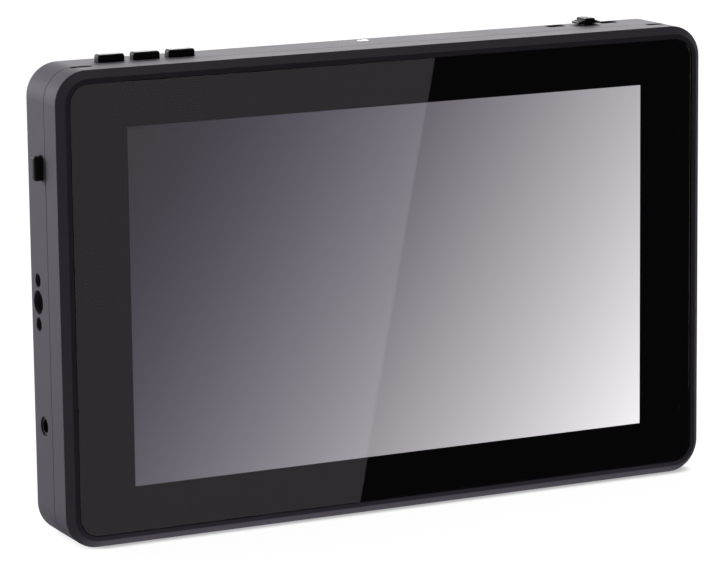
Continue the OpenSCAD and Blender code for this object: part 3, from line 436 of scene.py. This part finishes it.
def brushed_group():
    """Long fine scratches, for rolled and brushed metal."""
    name = "Brushed Lines"
    if name in bpy.data.node_groups:
        return bpy.data.node_groups[name]
    tree, given, out = new_group(
        name,
        [
            ("Color", "NodeSocketColor", MID_GREY),
            ("Roughness", "NodeSocketFloat", 0.3),
            ("Line Width", "NodeSocketFloat", 0.0001),
            ("Stretch", "NodeSocketVector", (0.03, 1.0, 1.0)),
        ],
        [
            ("Color", "NodeSocketColor"),
            ("Roughness", "NodeSocketFloat"),
            ("Height", "NodeSocketFloat"),
        ],
    )
    stretched = put(
        tree,
        "ShaderNodeVectorMath",
        {0: object_place(tree), 1: given["Stretch"]},
        operation="MULTIPLY",
    ).outputs[0]
    scale = math_node(tree, "DIVIDE", 1.0, given["Line Width"])
    lines = noise(tree, stretched, scale, 3.0)
    centred = math_node(tree, "SUBTRACT", lines, 0.5)
    grey = grey_of(tree, math_node(tree, "MULTIPLY_ADD", centred, 0.5, 1.0))
    tree.links.new(mix_colors(tree, 1.0, given["Color"], grey, "MULTIPLY"), out.inputs["Color"])
    rough = math_node(tree, "MULTIPLY_ADD", centred, 0.3, given["Roughness"], clamp=True)
    tree.links.new(rough, out.inputs["Roughness"])
    tree.links.new(lines, out.inputs["Height"])
    return tree


def use_group(tree, group, inputs):
    return put(tree, "ShaderNodeGroup", inputs, node_tree=group).outputs


def empty_material(name):
    material = bpy.data.materials.new(name)
    material.use_nodes = True
    material.node_tree.nodes.clear()
    return material, material.node_tree


def new_material(name):
    """A material with only a Principled shader. Returns the material, its tree and the shader."""
    material, tree = empty_material(name)
    shader = put(tree, "ShaderNodeBsdfPrincipled")
    output = put(tree, "ShaderNodeOutputMaterial")
    tree.links.new(shader.outputs[0], output.inputs["Surface"])
    return material, tree, shader


def finish(
    name,
    color,
    roughness,
    metallic=0.0,
    grain=0.0003,
    bump=0.00001,
    mottle=0.12,
    change=0.12,
    wear=0.2,
    bare=None,
    edge=0.00015,
    cavity_shade=0.0,
    **shader_values,
):
    """A grained finish with softened, slightly worn edges. Cavity shade sets how dark the shade
    painted into its holes is.
    """
    material, tree, shader = new_material(name)
    bare = bare or [min(1.0, 1.6 * c + 0.02) for c in color[:3]]
    grained = use_group(
        tree,
        grain_group(),
        {
            "Color": rgba(color),
            "Roughness": roughness,
            "Grain Size": grain,
            "Mottle": mottle,
            "Roughness Change": change,
        },
    )
    worn = use_group(
        tree,
        worn_edges_group(),
        {"Color": grained["Color"], "Bare Color": rgba(bare), "Edge Width": edge, "Wear": wear},
    )
    bumped = put(
        tree,
        "ShaderNodeBump",
        {"Strength": 1.0, "Distance": bump, "Height": grained["Height"], "Normal": worn["Normal"]},
    )
    shown = worn["Color"]
    if cavity_shade:
        shown = use_group(
            tree, painted_cavity_shade_group(), {"Color": shown, "Reach": PAINTED_SHADE_REACH, "Darkness": cavity_shade}
        )["Color"]
    tree.links.new(shown, shader.inputs["Base Color"])
    tree.links.new(grained["Roughness"], shader.inputs["Roughness"])
    tree.links.new(bumped.outputs[0], shader.inputs["Normal"])
    shader.inputs["Metallic"].default_value = metallic
    for socket, value in shader_values.items():
        shader.inputs[socket].default_value = value
    return material


def brushed(name, color, roughness, stretch=(0.03, 1.0, 1.0), line=0.00008, edge=0.00012):
    """Rolled or brushed metal, a little brighter where its edges are worn."""
    material, tree, shader = new_material(name)
    bare = rgba([min(1.0, 1.3 * c) for c in color])
    lines = use_group(
        tree,
        brushed_group(),
        {"Color": rgba(color), "Roughness": roughness, "Line Width": line, "Stretch": stretch},
    )
    worn = use_group(
        tree,
        worn_edges_group(),
        {"Color": lines["Color"], "Bare Color": bare, "Edge Width": edge, "Wear": 0.5},
    )
    bumped = put(
        tree,
        "ShaderNodeBump",
        {
            "Strength": 0.6,
            "Distance": 0.000004,
            "Height": lines["Height"],
            "Normal": worn["Normal"],
        }
    )
    tree.links.new(worn["Color"], shader.inputs["Base Color"])
    tree.links.new(lines["Roughness"], shader.inputs["Roughness"])
    tree.links.new(bumped.outputs[0], shader.inputs["Normal"])
    shader.inputs["Metallic"].default_value = 1.0
    return material


def cover(material, *nodes):
    """Gives CAD nodes a material in place of the one they came with."""
    for node in nodes:
        slots = NODES[node].material_slots
        if not slots:
            NODES[node].data.materials.append(material)
        for slot in slots:
            slot.material = material


# -----------------------------------------------------------------------------
# Meshes
# -----------------------------------------------------------------------------


def piece_from(name, vertices, faces, material, body, smooth=True):
    """A new piece that rides on a CAD body."""
    mesh = bpy.data.meshes.new(name)
    mesh.from_pydata(vertices, [], faces)
    build = bmesh.new()
    build.from_mesh(mesh)
    bmesh.ops.recalc_face_normals(build, faces=build.faces)
    build.to_mesh(mesh)
    build.free()
    for polygon in mesh.polygons:
        polygon.use_smooth = smooth
    mesh.materials.append(material)
    piece = bpy.data.objects.new(name, mesh)
    bpy.context.scene.collection.objects.link(piece)
    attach(piece, body)


def helical_ridge(mouth, inward, outer_r, inner_r, pitch, turns, steps=40):
    """Vertices and faces of an inside thread: a ridge that winds from the mouth inwards."""
    inward = Vector(inward)
    side = inward.orthogonal().normalized()
    other = inward.cross(side)
    vertices, faces = [], []
    count = turns * steps + 1
    half_root, half_crest = RIDGE_HALF_ROOT * pitch, RIDGE_HALF_CREST * pitch
    for step in range(count):
        angle = 2 * math.pi * step / steps
        around = side * math.cos(angle) + other * math.sin(angle)
        ends = min(step, count - 1 - step) / (RIDGE_RUN_OUT * steps)
        rise = (outer_r - inner_r) * min(1.0, ends)
        middle = Vector(mouth) + inward * (pitch * (RIDGE_START + step / steps))
        crest_r = outer_r - rise
        for r, shift in (
            (outer_r, -half_root),
            (crest_r, -half_crest),
            (crest_r, half_crest),
            (outer_r, half_root),
        ):
            vertices.append(middle + around * r + inward * shift)
        if step:
            a, b = 4 * (step - 1), 4 * step
            faces += [(a + k, a + (k + 1) % 4, b + (k + 1) % 4, b + k) for k in range(4)]
    last = 4 * (count - 1)
    faces += [(3, 2, 1, 0), (last, last + 1, last + 2, last + 3)]
    return vertices, faces


# -----------------------------------------------------------------------------
# The pieces
# -----------------------------------------------------------------------------


class MONITOR_OT_casing(bpy.types.Operator):
    """Matte anodised finish of the casing halves"""

    bl_idname = "monitor.casing"
    bl_label = "Finish Casing"

    def execute(self, context):
        look = context.scene.monitor_finish
        casing = finish(
            "Anodised_Casing",
            look.casing_color,
            look.casing_roughness,
            grain=look.casing_grain,
            bump=0.000012,
            mottle=0.10,
            change=0.08,
            wear=0.18,
            bare=(0.24, 0.235, 0.25),
            edge=0.0003,
            # Painted shade, near black, in the casing's own slots, holes and seam
            cavity_shade=0.95,
        )
        cover(casing, "front_frame", "rear_shell")
        return {"FINISHED"}


class MONITOR_OT_screen(bpy.types.Operator):
    """Cover glass, black border, glowing screen with a painted reflection, and back light"""

    bl_idname = "monitor.screen"
    bl_label = "Finish Screen"

    def execute(self, context):
        look = context.scene.monitor_finish
        glass, _, shader = new_material("Cover_Glass")
        shader.inputs["Base Color"].default_value = (0.98, 0.99, 1.0, 1.0)
        shader.inputs["Roughness"].default_value = 0.0
        shader.inputs["IOR"].default_value = 1.5
        shader.inputs["Transmission Weight"].default_value = 1.0
        cover(glass, "cover_glass")
        self.bonded(
            "border_print",
            "border_mask",
            "black_film",
            finish(
                "Border_Print",
                look.border_color,
                0.6,
                grain=0.0002,
                bump=0.0,
                mottle=0.05,
                wear=0.0,
                **{"Specular IOR Level": 0.0},
            ),
        )
        cover(self.picture(look), "display_cell")
        cover(
            finish("Foam_Tape", (0.02, 0.02, 0.021), 0.85, grain=0.0006, bump=0.00004), "glass_tape"
        )
        cover(
            finish(
                "Light_Guide_Acrylic",
                (0.78, 0.8, 0.8),
                0.2,
                grain=0.0008,
                bump=0.000004,
                **{"Coat Weight": 0.4},
            ),
            "light_guide",
        )
        self.bonded(
            "status_light_rod",
            "status_light_pipe",
            "clear_plastic",
            finish(
                "Status_Lens",
                (0.012, 0.012, 0.014),
                0.6,
                bump=0.0,
                wear=0.0,
                **{"Specular IOR Level": 0.1},
            ),
        )
        cover(brushed("Light_Tray_Steel", (0.52, 0.53, 0.55), 0.35), "light_tray")
        return {"FINISHED"}

    def bonded(self, name, node, slot, material):
        """Stands for a node behind the glass. Its front is set into the glass, so no air shows."""
        mesh = NODES[node].data.copy()
        mesh.name = name
        glass_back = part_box("cover_glass")[1].y
        for vertex in mesh.vertices:
            if abs(vertex.co.y - glass_back) < BOND_REACH:
                vertex.co.y -= BOND_DEPTH
        mesh.materials.clear()
        mesh.materials.append(material)
        cover(material, node)
        piece = bpy.data.objects.new(name, mesh)
        bpy.context.scene.collection.objects.link(piece)
        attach(piece, BODY_OF_NODE[node])
        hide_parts(node)

    def picture(self, look):
        """Polarising film that glows, darkest at the upper left and brightest at the lower right;
        this slant is a painted reflection.
        """
        material, tree, shader = new_material("Display_Glow_Sheen")
        place = put(tree, "ShaderNodeSeparateXYZ", {0: object_place(tree)}).outputs
        left, right = SCREEN_MIDDLE.x - PICTURE_WIDE / 2, SCREEN_MIDDLE.x + PICTURE_WIDE / 2
        low, high = SCREEN_MIDDLE.z - PICTURE_HIGH / 2, SCREEN_MIDDLE.z + PICTURE_HIGH / 2
        # Painted reflection: the glow rises from the upper left to the lower right
        across = map_range(tree, place["X"], left, right, to_max=look.glow_sheen_across)
        down = map_range(tree, place["Z"], high, low, to_max=1.0 - look.glow_sheen_across)
        rise = math_node(tree, "ADD", across, down)
        levels = mix_colors(tree, rise, rgba(look.glow_sheen_dark), rgba(look.glow_sheen_bright))
        glow = put(tree, "ShaderNodeGamma", {"Color": levels, "Gamma": DISPLAY_GAMMA}).outputs[0]
        tree.links.new(glow, shader.inputs["Emission Color"])
        shader.inputs["Emission Strength"].default_value = SCREEN_GLOW_STRENGTH
        shader.inputs["Specular IOR Level"].default_value = 0.0
        shader.inputs["Roughness"].default_value = 0.35
        grained = use_group(
            tree,
            grain_group(),
            {"Color": (0.012, 0.012, 0.014, 1.0), "Grain Size": 0.0002, "Mottle": 0.2},
        )
        tree.links.new(grained["Color"], shader.inputs["Base Color"])
        return material


class MONITOR_OT_keys(bpy.types.Operator):
    """Black moulded keys, menu lever, their switches, the marks beside the lever and the signal
    window
    """

    bl_idname = "monitor.keys"
    bl_label = "Finish Keys"

    def execute(self, context):
        look = context.scene.monitor_finish
        key = finish(
            "Key_Plastic",
            look.key_color,
            look.key_roughness,
            grain=0.0002,
            bump=0.000006,
            mottle=0.3,
            wear=0.35,
            bare=(0.05, 0.05, 0.052),
            edge=0.0003,
            **{"Specular IOR Level": 0.38},
        )
        cover(key, "top_key_1", "top_key_2", "top_key_3", "power_key", "lever_cap")
        cover(
            finish("Switch_Plastic", (0.015, 0.015, 0.016), 0.45),
            "key_switches",
            "power_key_switch",
            "lever_switch",
        )
        cover(finish("Slider_Nylon", (0.62, 0.61, 0.57), 0.4, bump=0.000004), "lever_slider")
        self.marks()
        cover(
            finish(
                "Signal_Lens",
                (0.83, 0.83, 0.80),
                0.25,
                bump=0.0,
                mottle=0.04,
                wear=0.0,
                **{"Coat Weight": 0.6},
            ),
            "signal_window",
        )
        return {"FINISHED"}

    def marks(self):
        """Black ink that fills the two shallow recesses beside the lever."""
        ink = finish(
            "Mark_Ink",
            (0.006, 0.006, 0.0065),
            0.8,
            grain=0.0002,
            bump=0.0,
            wear=0.1,
            **{"Specular IOR Level": 0.0},
        )
        for name, side in (("left_mark_fill", -1), ("right_mark_fill", 1)):
            outline = self.rounded_oblong(side)
            count = len(outline)
            vertices = [
                (MARKS_X + x, MARKS_Y + y, z) for z in (MARK_LOW, MARK_HIGH) for x, y in outline
            ]
            faces = [tuple(range(count)), tuple(range(count, 2 * count))]
            faces += [
                (k, (k + 1) % count, count + (k + 1) % count, count + k) for k in range(count)
            ]
            piece_from(name, vertices, faces, ink, "casing", smooth=False)

    def rounded_oblong(self, side):
        """Outline of the mark on one side of the lever, corner by corner."""
        outline = []
        for x, y, start in (
            (MARK_FAR, MARK_HALF_DEEP, 0),
            (MARK_NEAR, MARK_HALF_DEEP, 1),
            (MARK_NEAR, -MARK_HALF_DEEP, 2),
            (MARK_FAR, -MARK_HALF_DEEP, 3),
        ):
            centre_x = x - math.copysign(MARK_ROUNDING, x - (MARK_NEAR + MARK_FAR) / 2)
            centre_y = y - math.copysign(MARK_ROUNDING, y)
            for step in range(MARK_CORNER_STEPS + 1):
                angle = (start + step / MARK_CORNER_STEPS) * math.pi / 2
                along = centre_x + MARK_ROUNDING * math.cos(angle)
                outline.append((side * along, centre_y + MARK_ROUNDING * math.sin(angle)))
        return outline


class MONITOR_OT_electronics(bpy.types.Operator):
    """Circuit boards, chips, ribbons, heat sink and middle plate"""

    bl_idname = "monitor.electronics"
    bl_label = "Finish Electronics"

    def execute(self, context):
        look = context.scene.monitor_finish
        cover(self.board(look), "main_board", "key_board", "power_key_board", "lever_board")
        cover(
            finish("Chip_Epoxy", (0.018, 0.018, 0.02), 0.55, grain=0.0004, bump=0.00001),
            "processor",
            "board_chips",
        )
        cover(
            finish(
                "Heat_Sink_Anodised",
                (0.03, 0.03, 0.033),
                0.42,
                metallic=0.7,
                bare=(0.4, 0.4, 0.42),
                wear=0.5,
            ),
            "heat_sink",
        )
        cover(
            finish(
                "Ribbon_Film",
                (0.42, 0.19, 0.05),
                0.3,
                mottle=0.25,
                bump=0.000006,
                **{"Coat Weight": 0.4},
            ),
            "panel_ribbon",
            "key_ribbon",
            "lever_ribbon",
        )
        cover(
            brushed("Milled_Plate", (0.55, 0.56, 0.58), 0.38, stretch=(1.0, 1.0, 0.04)),
            "middle_plate",
        )
        return {"FINISHED"}

    def board(self, look):
        """Solder mask with the lighter lines of copper under it."""
        material, tree, shader = new_material("Circuit_Board")
        turned = put(
            tree,
            "ShaderNodeVectorMath",
            {0: object_place(tree), 1: (1.0, 0.0, 1.0)},
            operation="MULTIPLY",
        ).outputs[0]
        cells = put(
            tree,
            "ShaderNodeTexVoronoi",
            {"Vector": turned, "Scale": 420.0},
            distance="MANHATTAN",
            feature="F1",
        ).outputs["Distance"]
        line = map_range(tree, cells, 0.55, 0.62)
        copper = rgba([1.9 * c for c in look.board_color])
        color = mix_colors(tree, line, copper, rgba(look.board_color))
        grained = use_group(
            tree, grain_group(), {"Color": color, "Roughness": 0.35, "Grain Size": 0.0005}
        )
        worn = use_group(
            tree,
            worn_edges_group(),
            {
                "Color": grained["Color"],
                "Bare Color": (0.35, 0.3, 0.16, 1.0),
                "Edge Width": 0.0002,
                "Wear": 0.6,
            },
        )
        bumped = put(
            tree,
            "ShaderNodeBump",
            {"Strength": 0.5, "Distance": 0.00003, "Height": line, "Normal": worn["Normal"]},
        )
        tree.links.new(worn["Color"], shader.inputs["Base Color"])
        tree.links.new(grained["Roughness"], shader.inputs["Roughness"])
        tree.links.new(bumped.outputs[0], shader.inputs["Normal"])
        return material


class MONITOR_OT_sockets(bpy.types.Operator):
    """Picture, data, power and headphone sockets"""

    bl_idname = "monitor.sockets"
    bl_label = "Finish Sockets"

    def execute(self, context):
        cover(
            brushed("Socket_Shell_Nickel", (0.60, 0.59, 0.56), 0.3, stretch=(0.05, 1.0, 1.0)),
            "picture_input_socket",
            "picture_output_socket",
            "data_socket",
        )
        cover(
            # Painted shade, near black, inside the power inlet and headphone socket
            finish("Socket_Plastic", (0.012, 0.012, 0.013), 0.4, cavity_shade=0.95),
            "power_inlet",
            "headphone_socket",
        )
        gold = finish("Socket_Gold", GOLD, 0.25, metallic=1.0, bump=0.000003)
        black = finish("Socket_Tongue", (0.013, 0.013, 0.014), 0.45, bump=0.000006)
        for label in TONGUES:
            self.tongue(label, label + "_socket", black, gold)
        self.pin_sleeve(gold)
        return {"FINISHED"}

    def tongue(self, label, socket, black, gold):
        """Black sleeve over the socket's tongue, with a row of gold contacts on both faces."""
        low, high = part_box(socket)
        middle = (low + high) / 2
        wide, thick, front, deep, count = TONGUES[label]
        tip, root = high.x - front, high.x - deep
        sleeve = (
            (root, tip + SLEEVE_LAP),
            (middle.y, thick / 2 + SLEEVE_T),
            (middle.z, wide / 2 + SLEEVE_T),
        )
        self.bars(label + "_tongue_sleeve", [sleeve], black, "socket_plastic")
        step = (wide - CONTACT_MARGIN) / (count - 1)
        rows = [
            (
                (root, tip - CONTACT_SET_BACK),
                (middle.y + side * (thick / 2 + SLEEVE_T), CONTACT_HALF_T),
                (middle.z + (k - (count - 1) / 2) * step, step * CONTACT_SHARE),
            )
            for side in (-1, 1)
            for k in range(count)
        ]
        self.bars(label + "_contact_rows", rows, gold, "brass_contact")

    def bars(self, name, rows, material, slot):
        """Blocks along X. A row holds its two ends, then middle and half size in Y, then in Z."""
        vertices, faces = [], []
        for (x0, x1), (y, half_y), (z, half_z) in rows:
            first = len(vertices)
            vertices += [
                (x, y + side * half_y, z + up * half_z)
                for x in (x0, x1)
                for side in (-1, 1)
                for up in (-1, 1)
            ]
            faces += [tuple(first + k for k in face) for face in BLOCK_FACES]
        piece_from(name, vertices, faces, material, "casing", smooth=False)

    def pin_sleeve(self, material):
        """Metal sleeve on the pin of the power inlet, with a rounded tip."""
        low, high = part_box("power_inlet")
        y, z, mouth = (low.y + high.y) / 2, (low.z + high.z) / 2, high.x
        turns = [2 * math.pi * k / PIN_STEPS for k in range(PIN_STEPS)]
        vertices = [
            (
                mouth - x * MM,
                y + PIN_RADIUS * r * math.cos(turn),
                z + PIN_RADIUS * r * math.sin(turn),
            )
            for x, r in PIN_RINGS
            for turn in turns
        ]
        faces = []
        for ring in range(len(PIN_RINGS) - 1):
            a, b = ring * PIN_STEPS, (ring + 1) * PIN_STEPS
            faces += [
                (a + k, a + (k + 1) % PIN_STEPS, b + (k + 1) % PIN_STEPS, b + k)
                for k in range(PIN_STEPS)
            ]
        tip = (len(PIN_RINGS) - 1) * PIN_STEPS
        faces += [tuple(range(PIN_STEPS)), tuple(tip + k for k in range(PIN_STEPS))]
        piece_from("inlet_pin_sleeve", vertices, faces, material, "casing")


class MONITOR_OT_tripod_threads(bpy.types.Operator):
    """Turns of the two tripod threads, inside their holes"""

    bl_idname = "monitor.tripod_threads"
    bl_label = "Build Tripod Threads"

    def execute(self, context):
        look = context.scene.monitor_finish
        steel = finish(
            "Thread_Steel",
            (0.05, 0.048, 0.052),
            0.6,
            metallic=0.6,
            bump=0.000004,
            wear=0.3,
            # Painted shade, near black, deep in the tripod holes
            cavity_shade=0.97,
        )
        for name, mouth, inward in THREAD_MOUTHS:
            vertices, faces = helical_ridge(
                mouth, inward, THREAD_OUTER_R, THREAD_INNER_R, look.thread_pitch, look.thread_turns
            )
            piece_from(name, vertices, faces, steel, "casing")
        return {"FINISHED"}


class MONITOR_OT_fan(bpy.types.Operator):
    """Cooling fan behind the vents"""

    bl_idname = "monitor.fan"
    bl_label = "Finish Fan"

    def execute(self, context):
        cover(finish("Fan_Frame_Plastic", (0.014, 0.014, 0.015), 0.5, grain=0.0004), "fan_frame")
        cover(finish("Fan_Rotor_Plastic", (0.02, 0.02, 0.022), 0.38), "fan_rotor")
        return {"FINISHED"}


class MONITOR_OT_battery_mount(bpy.types.Operator):
    """Battery plate, contacts, latch and spring"""

    bl_idname = "monitor.battery_mount"
    bl_label = "Finish Battery Mount"

    def execute(self, context):
        cover(
            finish(
                "Battery_Plate_Plastic",
                (0.021, 0.021, 0.023),
                0.5,
                grain=0.0007,
                bump=0.00003,
                wear=0.35,
            ),
            "battery_plate",
        )
        cover(finish("Contact_Block_Plastic", (0.012, 0.012, 0.013), 0.42), "contact_block")
        cover(finish("Contact_Gold", GOLD, 0.22, metallic=1.0, bump=0.000003), "battery_contacts")
        cover(finish("Latch_Plastic", (0.018, 0.018, 0.02), 0.38, wear=0.4), "battery_latch")
        cover(finish("Spring_Steel", (0.5, 0.5, 0.5), 0.28, metallic=1.0), "latch_spring")
        cover(brushed("Bracket_Steel", (0.5, 0.51, 0.53), 0.34), "latch_bracket")
        return {"FINISHED"}


class MONITOR_OT_fasteners(bpy.types.Operator):
    """Screws of the casing, the boards, the fan and the battery plate"""

    bl_idname = "monitor.fasteners"
    bl_label = "Finish Screws"

    def execute(self, context):
        black = finish(
            "Screw_Black_Oxide",
            (0.03, 0.03, 0.032),
            0.33,
            metallic=0.8,
            bare=(0.4, 0.39, 0.38),
            wear=0.5,
            grain=0.0002,
            bump=0.000004,
        )
        zinc = finish(
            "Screw_Zinc",
            (0.55, 0.56, 0.58),
            0.3,
            metallic=1.0,
            grain=0.0002,
            bump=0.000004,
            wear=0.4,
        )
        cover(black, "casing_screws", "plate_screws")
        cover(zinc, "board_screws", "key_board_screws", "fan_screws")
        return {"FINISHED"}


class MONITOR_OT_stage(bpy.types.Operator):
    """Floor, soft lamps and camera"""

    bl_idname = "monitor.stage"
    bl_label = "Build Studio"

    def execute(self, context):
        studio = context.scene.monitor_studio
        self.floor(studio)
        self.dark_card(studio)
        self.world(context.scene)
        self.lamps(studio)
        self.camera(context.scene, studio)
        return {"FINISHED"}

    def sheet(self, name, corners, material):
        mesh = bpy.data.meshes.new(name)
        mesh.from_pydata(corners, [], [tuple(range(len(corners)))])
        mesh.materials.append(material)
        sheet = bpy.data.objects.new(name, mesh)
        bpy.context.scene.collection.objects.link(sheet)
        return sheet

    def floor(self, studio):
        """White paper to the camera with a painted shade where the monitor stands, grey where it
        throws light back, and plain in the glass.
        """
        material, tree = empty_material("Studio_Floor")
        path = put(tree, "ShaderNodeLightPath").outputs
        place = put(tree, "ShaderNodeSeparateXYZ", {0: object_place(tree)}).outputs

        # What the camera sees: white, with a thin painted shade where the monitor stands, which
        # fades out under its lifted left corner
        seen_paper = put(
            tree, "ShaderNodeBsdfDiffuse", {"Color": (0.12, 0.12, 0.12, 1.0)}
        ).outputs[0]
        painted_shade_ao = put(
            tree, "ShaderNodeAmbientOcclusion", {"Distance": FLOOR_PAINTED_SHADE_REACH}, samples=8
        ).outputs["AO"]
        near = map_range(tree, painted_shade_ao, 0.35, 0.95, 0.45, 0.98)
        # The painted shade fades out towards the casing's lifted left corner
        corner = map_range(tree, place["X"], -0.084, -0.092, to_max=0.6)
        near = math_node(tree, "ADD", near, corner, clamp=True)
        seen = put(
            tree, "ShaderNodeAddShader", {0: seen_paper, 1: emission(tree, WHITE, near)}
        ).outputs[0]

        # What lights the casing from below: darker paper in front, a bright strip before the glass
        grey = map_range(tree, place["Y"], -0.06, 0.0, 0.32, 0.65)
        bounce_paper = put(tree, "ShaderNodeBsdfDiffuse", {"Color": grey_of(tree, grey)}).outputs[0]
        strip = map_range(
            tree, place["Y"], GLASS_FACE - 0.009, GLASS_FACE, to_max=0.5, kind="SMOOTHSTEP"
        )
        in_front = map_range(tree, math_node(tree, "ABSOLUTE", place["X"]), 0.095, 0.085)
        bounce_glow = emission(tree, WHITE, math_node(tree, "MULTIPLY", strip, in_front))
        bounce = put(tree, "ShaderNodeAddShader", {0: bounce_paper, 1: bounce_glow}).outputs[0]

        mirrored = emission(tree, (1.0, 0.905, 1.0, 1.0), studio.floor_mirror)
        shown = put(
            tree, "ShaderNodeMixShader", {0: path["Is Singular Ray"], 1: bounce, 2: mirrored}
        ).outputs[0]
        shown = put(
            tree, "ShaderNodeMixShader", {0: path["Is Camera Ray"], 1: shown, 2: seen}
        ).outputs[0]
        put(tree, "ShaderNodeOutputMaterial", {"Surface": shown})
        half = FLOOR_HALF
        corners = [(-half, -half, 0), (half, -half, 0), (half, half, 0), (-half, half, 0)]
        self.sheet("studio_floor", corners, material)

    def dark_card(self, studio):
        """Black card on the floor, which only the glass mirrors, up to a slanting line."""
        eye = Vector(studio.camera_place)
        eye.y = 2 * GLASS_FACE - eye.y

        def on_floor(point):
            return eye + (point - eye) * ((CARD_LIFT - eye.z) / (point.z - eye.z))

        near, far = on_floor(CARD_EDGE_LOW), on_floor(CARD_EDGE_HIGH)
        along = (far - near).normalized()
        near, far = near - along * CARD_BEFORE, far + along * CARD_BEYOND
        wide = Vector((CARD_WIDE, 0.0, 0.0))
        material, tree = empty_material("Dark_Card")
        sharp = put(tree, "ShaderNodeLightPath").outputs["Is Singular Ray"]
        clear = put(tree, "ShaderNodeBsdfTransparent", {"Color": WHITE}).outputs[0]
        dark = emission(tree, (1.0, 0.85, 1.0, 1.0), 0.05)
        shown = put(tree, "ShaderNodeMixShader", {0: sharp, 1: clear, 2: dark}).outputs[0]
        put(tree, "ShaderNodeOutputMaterial", {"Surface": shown})
        card = self.sheet("dark_card", [near, near + wide, far + wide, far], material)
        card.visible_camera = False
        card.visible_diffuse = False
        card.visible_shadow = False

    def world(self, scene):
        """White to the camera. Everything else sees a bright backdrop and a dark room in front."""
        world = bpy.data.worlds.new("Studio_World")
        world.use_nodes = True
        tree = world.node_tree
        tree.nodes.clear()
        path = put(tree, "ShaderNodeLightPath").outputs
        direction = put(tree, "ShaderNodeTexCoord").outputs["Generated"]
        away = put(tree, "ShaderNodeSeparateXYZ", {0: direction}).outputs
        room = map_range(tree, away["Y"], -0.12, 0.65, 0.03, 0.92, kind="SMOOTHSTEP")
        strength = math_node(tree, "MAXIMUM", path["Is Camera Ray"], room)
        sky = put(
            tree, "ShaderNodeBackground", {"Color": (1.0, 0.99, 1.0, 1.0), "Strength": strength}
        ).outputs[0]
        put(tree, "ShaderNodeOutputWorld", {"Surface": sky})
        scene.world = world

    def lamps(self, studio):
        for name, place, wide, power in (
            ("top_soft_box", (-0.25, 0.55, 1.5), 1.3, studio.top_power),
            ("left_soft_box", (-1.15, 1.35, 0.45), 0.7, studio.left_power),
            ("back_soft_box", (0.9, 1.5, 0.7), 1.0, studio.back_power),
        ):
            lamp = bpy.data.lights.new(name, "AREA")
            lamp.shape, lamp.size, lamp.energy = "SQUARE", wide, power
            holder = bpy.data.objects.new(name, lamp)
            holder.location = place
            holder.rotation_mode = "QUATERNION"
            holder.rotation_quaternion = (LAMP_TARGET - Vector(place)).to_track_quat("-Z", "Y")
            bpy.context.scene.collection.objects.link(holder)

    def camera(self, scene, studio):
        yaw, pitch, roll = studio.camera_yaw, studio.camera_pitch, studio.camera_roll
        forward = Vector(
            (math.sin(yaw) * math.cos(pitch), math.cos(yaw) * math.cos(pitch), -math.sin(pitch))
        )
        level = Vector((math.cos(yaw), -math.sin(yaw), 0.0))
        right = level * math.cos(roll) + level.cross(forward) * math.sin(roll)
        turned = Matrix((right, right.cross(forward), -forward)).transposed().to_4x4()
        data = bpy.data.cameras.new("camera")
        data.sensor_width = 36.0
        data.lens = studio.camera_lens
        data.clip_start, data.clip_end = 0.01, 50.0
        camera = bpy.data.objects.new("camera", data)
        scene.collection.objects.link(camera)
        camera.matrix_world = Matrix.Translation(Vector(studio.camera_place)) @ turned
        scene.camera = camera
        scene.view_settings.view_transform = "Standard"


class VIEW3D_PT_field_monitor(bpy.types.Panel):
    """Settings and steps of the field monitor"""

    bl_idname = "VIEW3D_PT_field_monitor"
    bl_label = "Field Monitor"
    bl_space_type = "VIEW_3D"
    bl_region_type = "UI"
    bl_category = "Field Monitor"

    def draw(self, context):
        layout = self.layout
        for settings in (context.scene.monitor_finish, context.scene.monitor_studio):
            box = layout.box()
            for name in settings.bl_rna.properties.keys():
                if name not in ("rna_type", "name"):
                    box.prop(settings, name)
        for step in STEPS:
            layout.operator(step.bl_idname)


STEPS = (
    MONITOR_OT_casing,
    MONITOR_OT_screen,
    MONITOR_OT_keys,
    MONITOR_OT_electronics,
    MONITOR_OT_sockets,
    MONITOR_OT_tripod_threads,
    MONITOR_OT_fan,
    MONITOR_OT_battery_mount,
    MONITOR_OT_fasteners,
    MONITOR_OT_stage,
)
CLASSES = (MonitorFinishSettings, MonitorStudioSettings, *STEPS, VIEW3D_PT_field_monitor)


def register():
    for cls in CLASSES:
        bpy.utils.register_class(cls)
    bpy.types.Scene.monitor_finish = PointerProperty(type=MonitorFinishSettings)
    bpy.types.Scene.monitor_studio = PointerProperty(type=MonitorStudioSettings)


def unregister():
    del bpy.types.Scene.monitor_studio
    del bpy.types.Scene.monitor_finish
    for cls in reversed(CLASSES):
        bpy.utils.unregister_class(cls)


def main():
    register()
    bpy.ops.monitor.casing()
    bpy.ops.monitor.screen()
    bpy.ops.monitor.keys()
    bpy.ops.monitor.electronics()
    bpy.ops.monitor.sockets()
    bpy.ops.monitor.tripod_threads()
    bpy.ops.monitor.fan()
    bpy.ops.monitor.battery_mount()
    bpy.ops.monitor.fasteners()
    bpy.ops.monitor.stage()


if __name__ == "__main__":
    main()
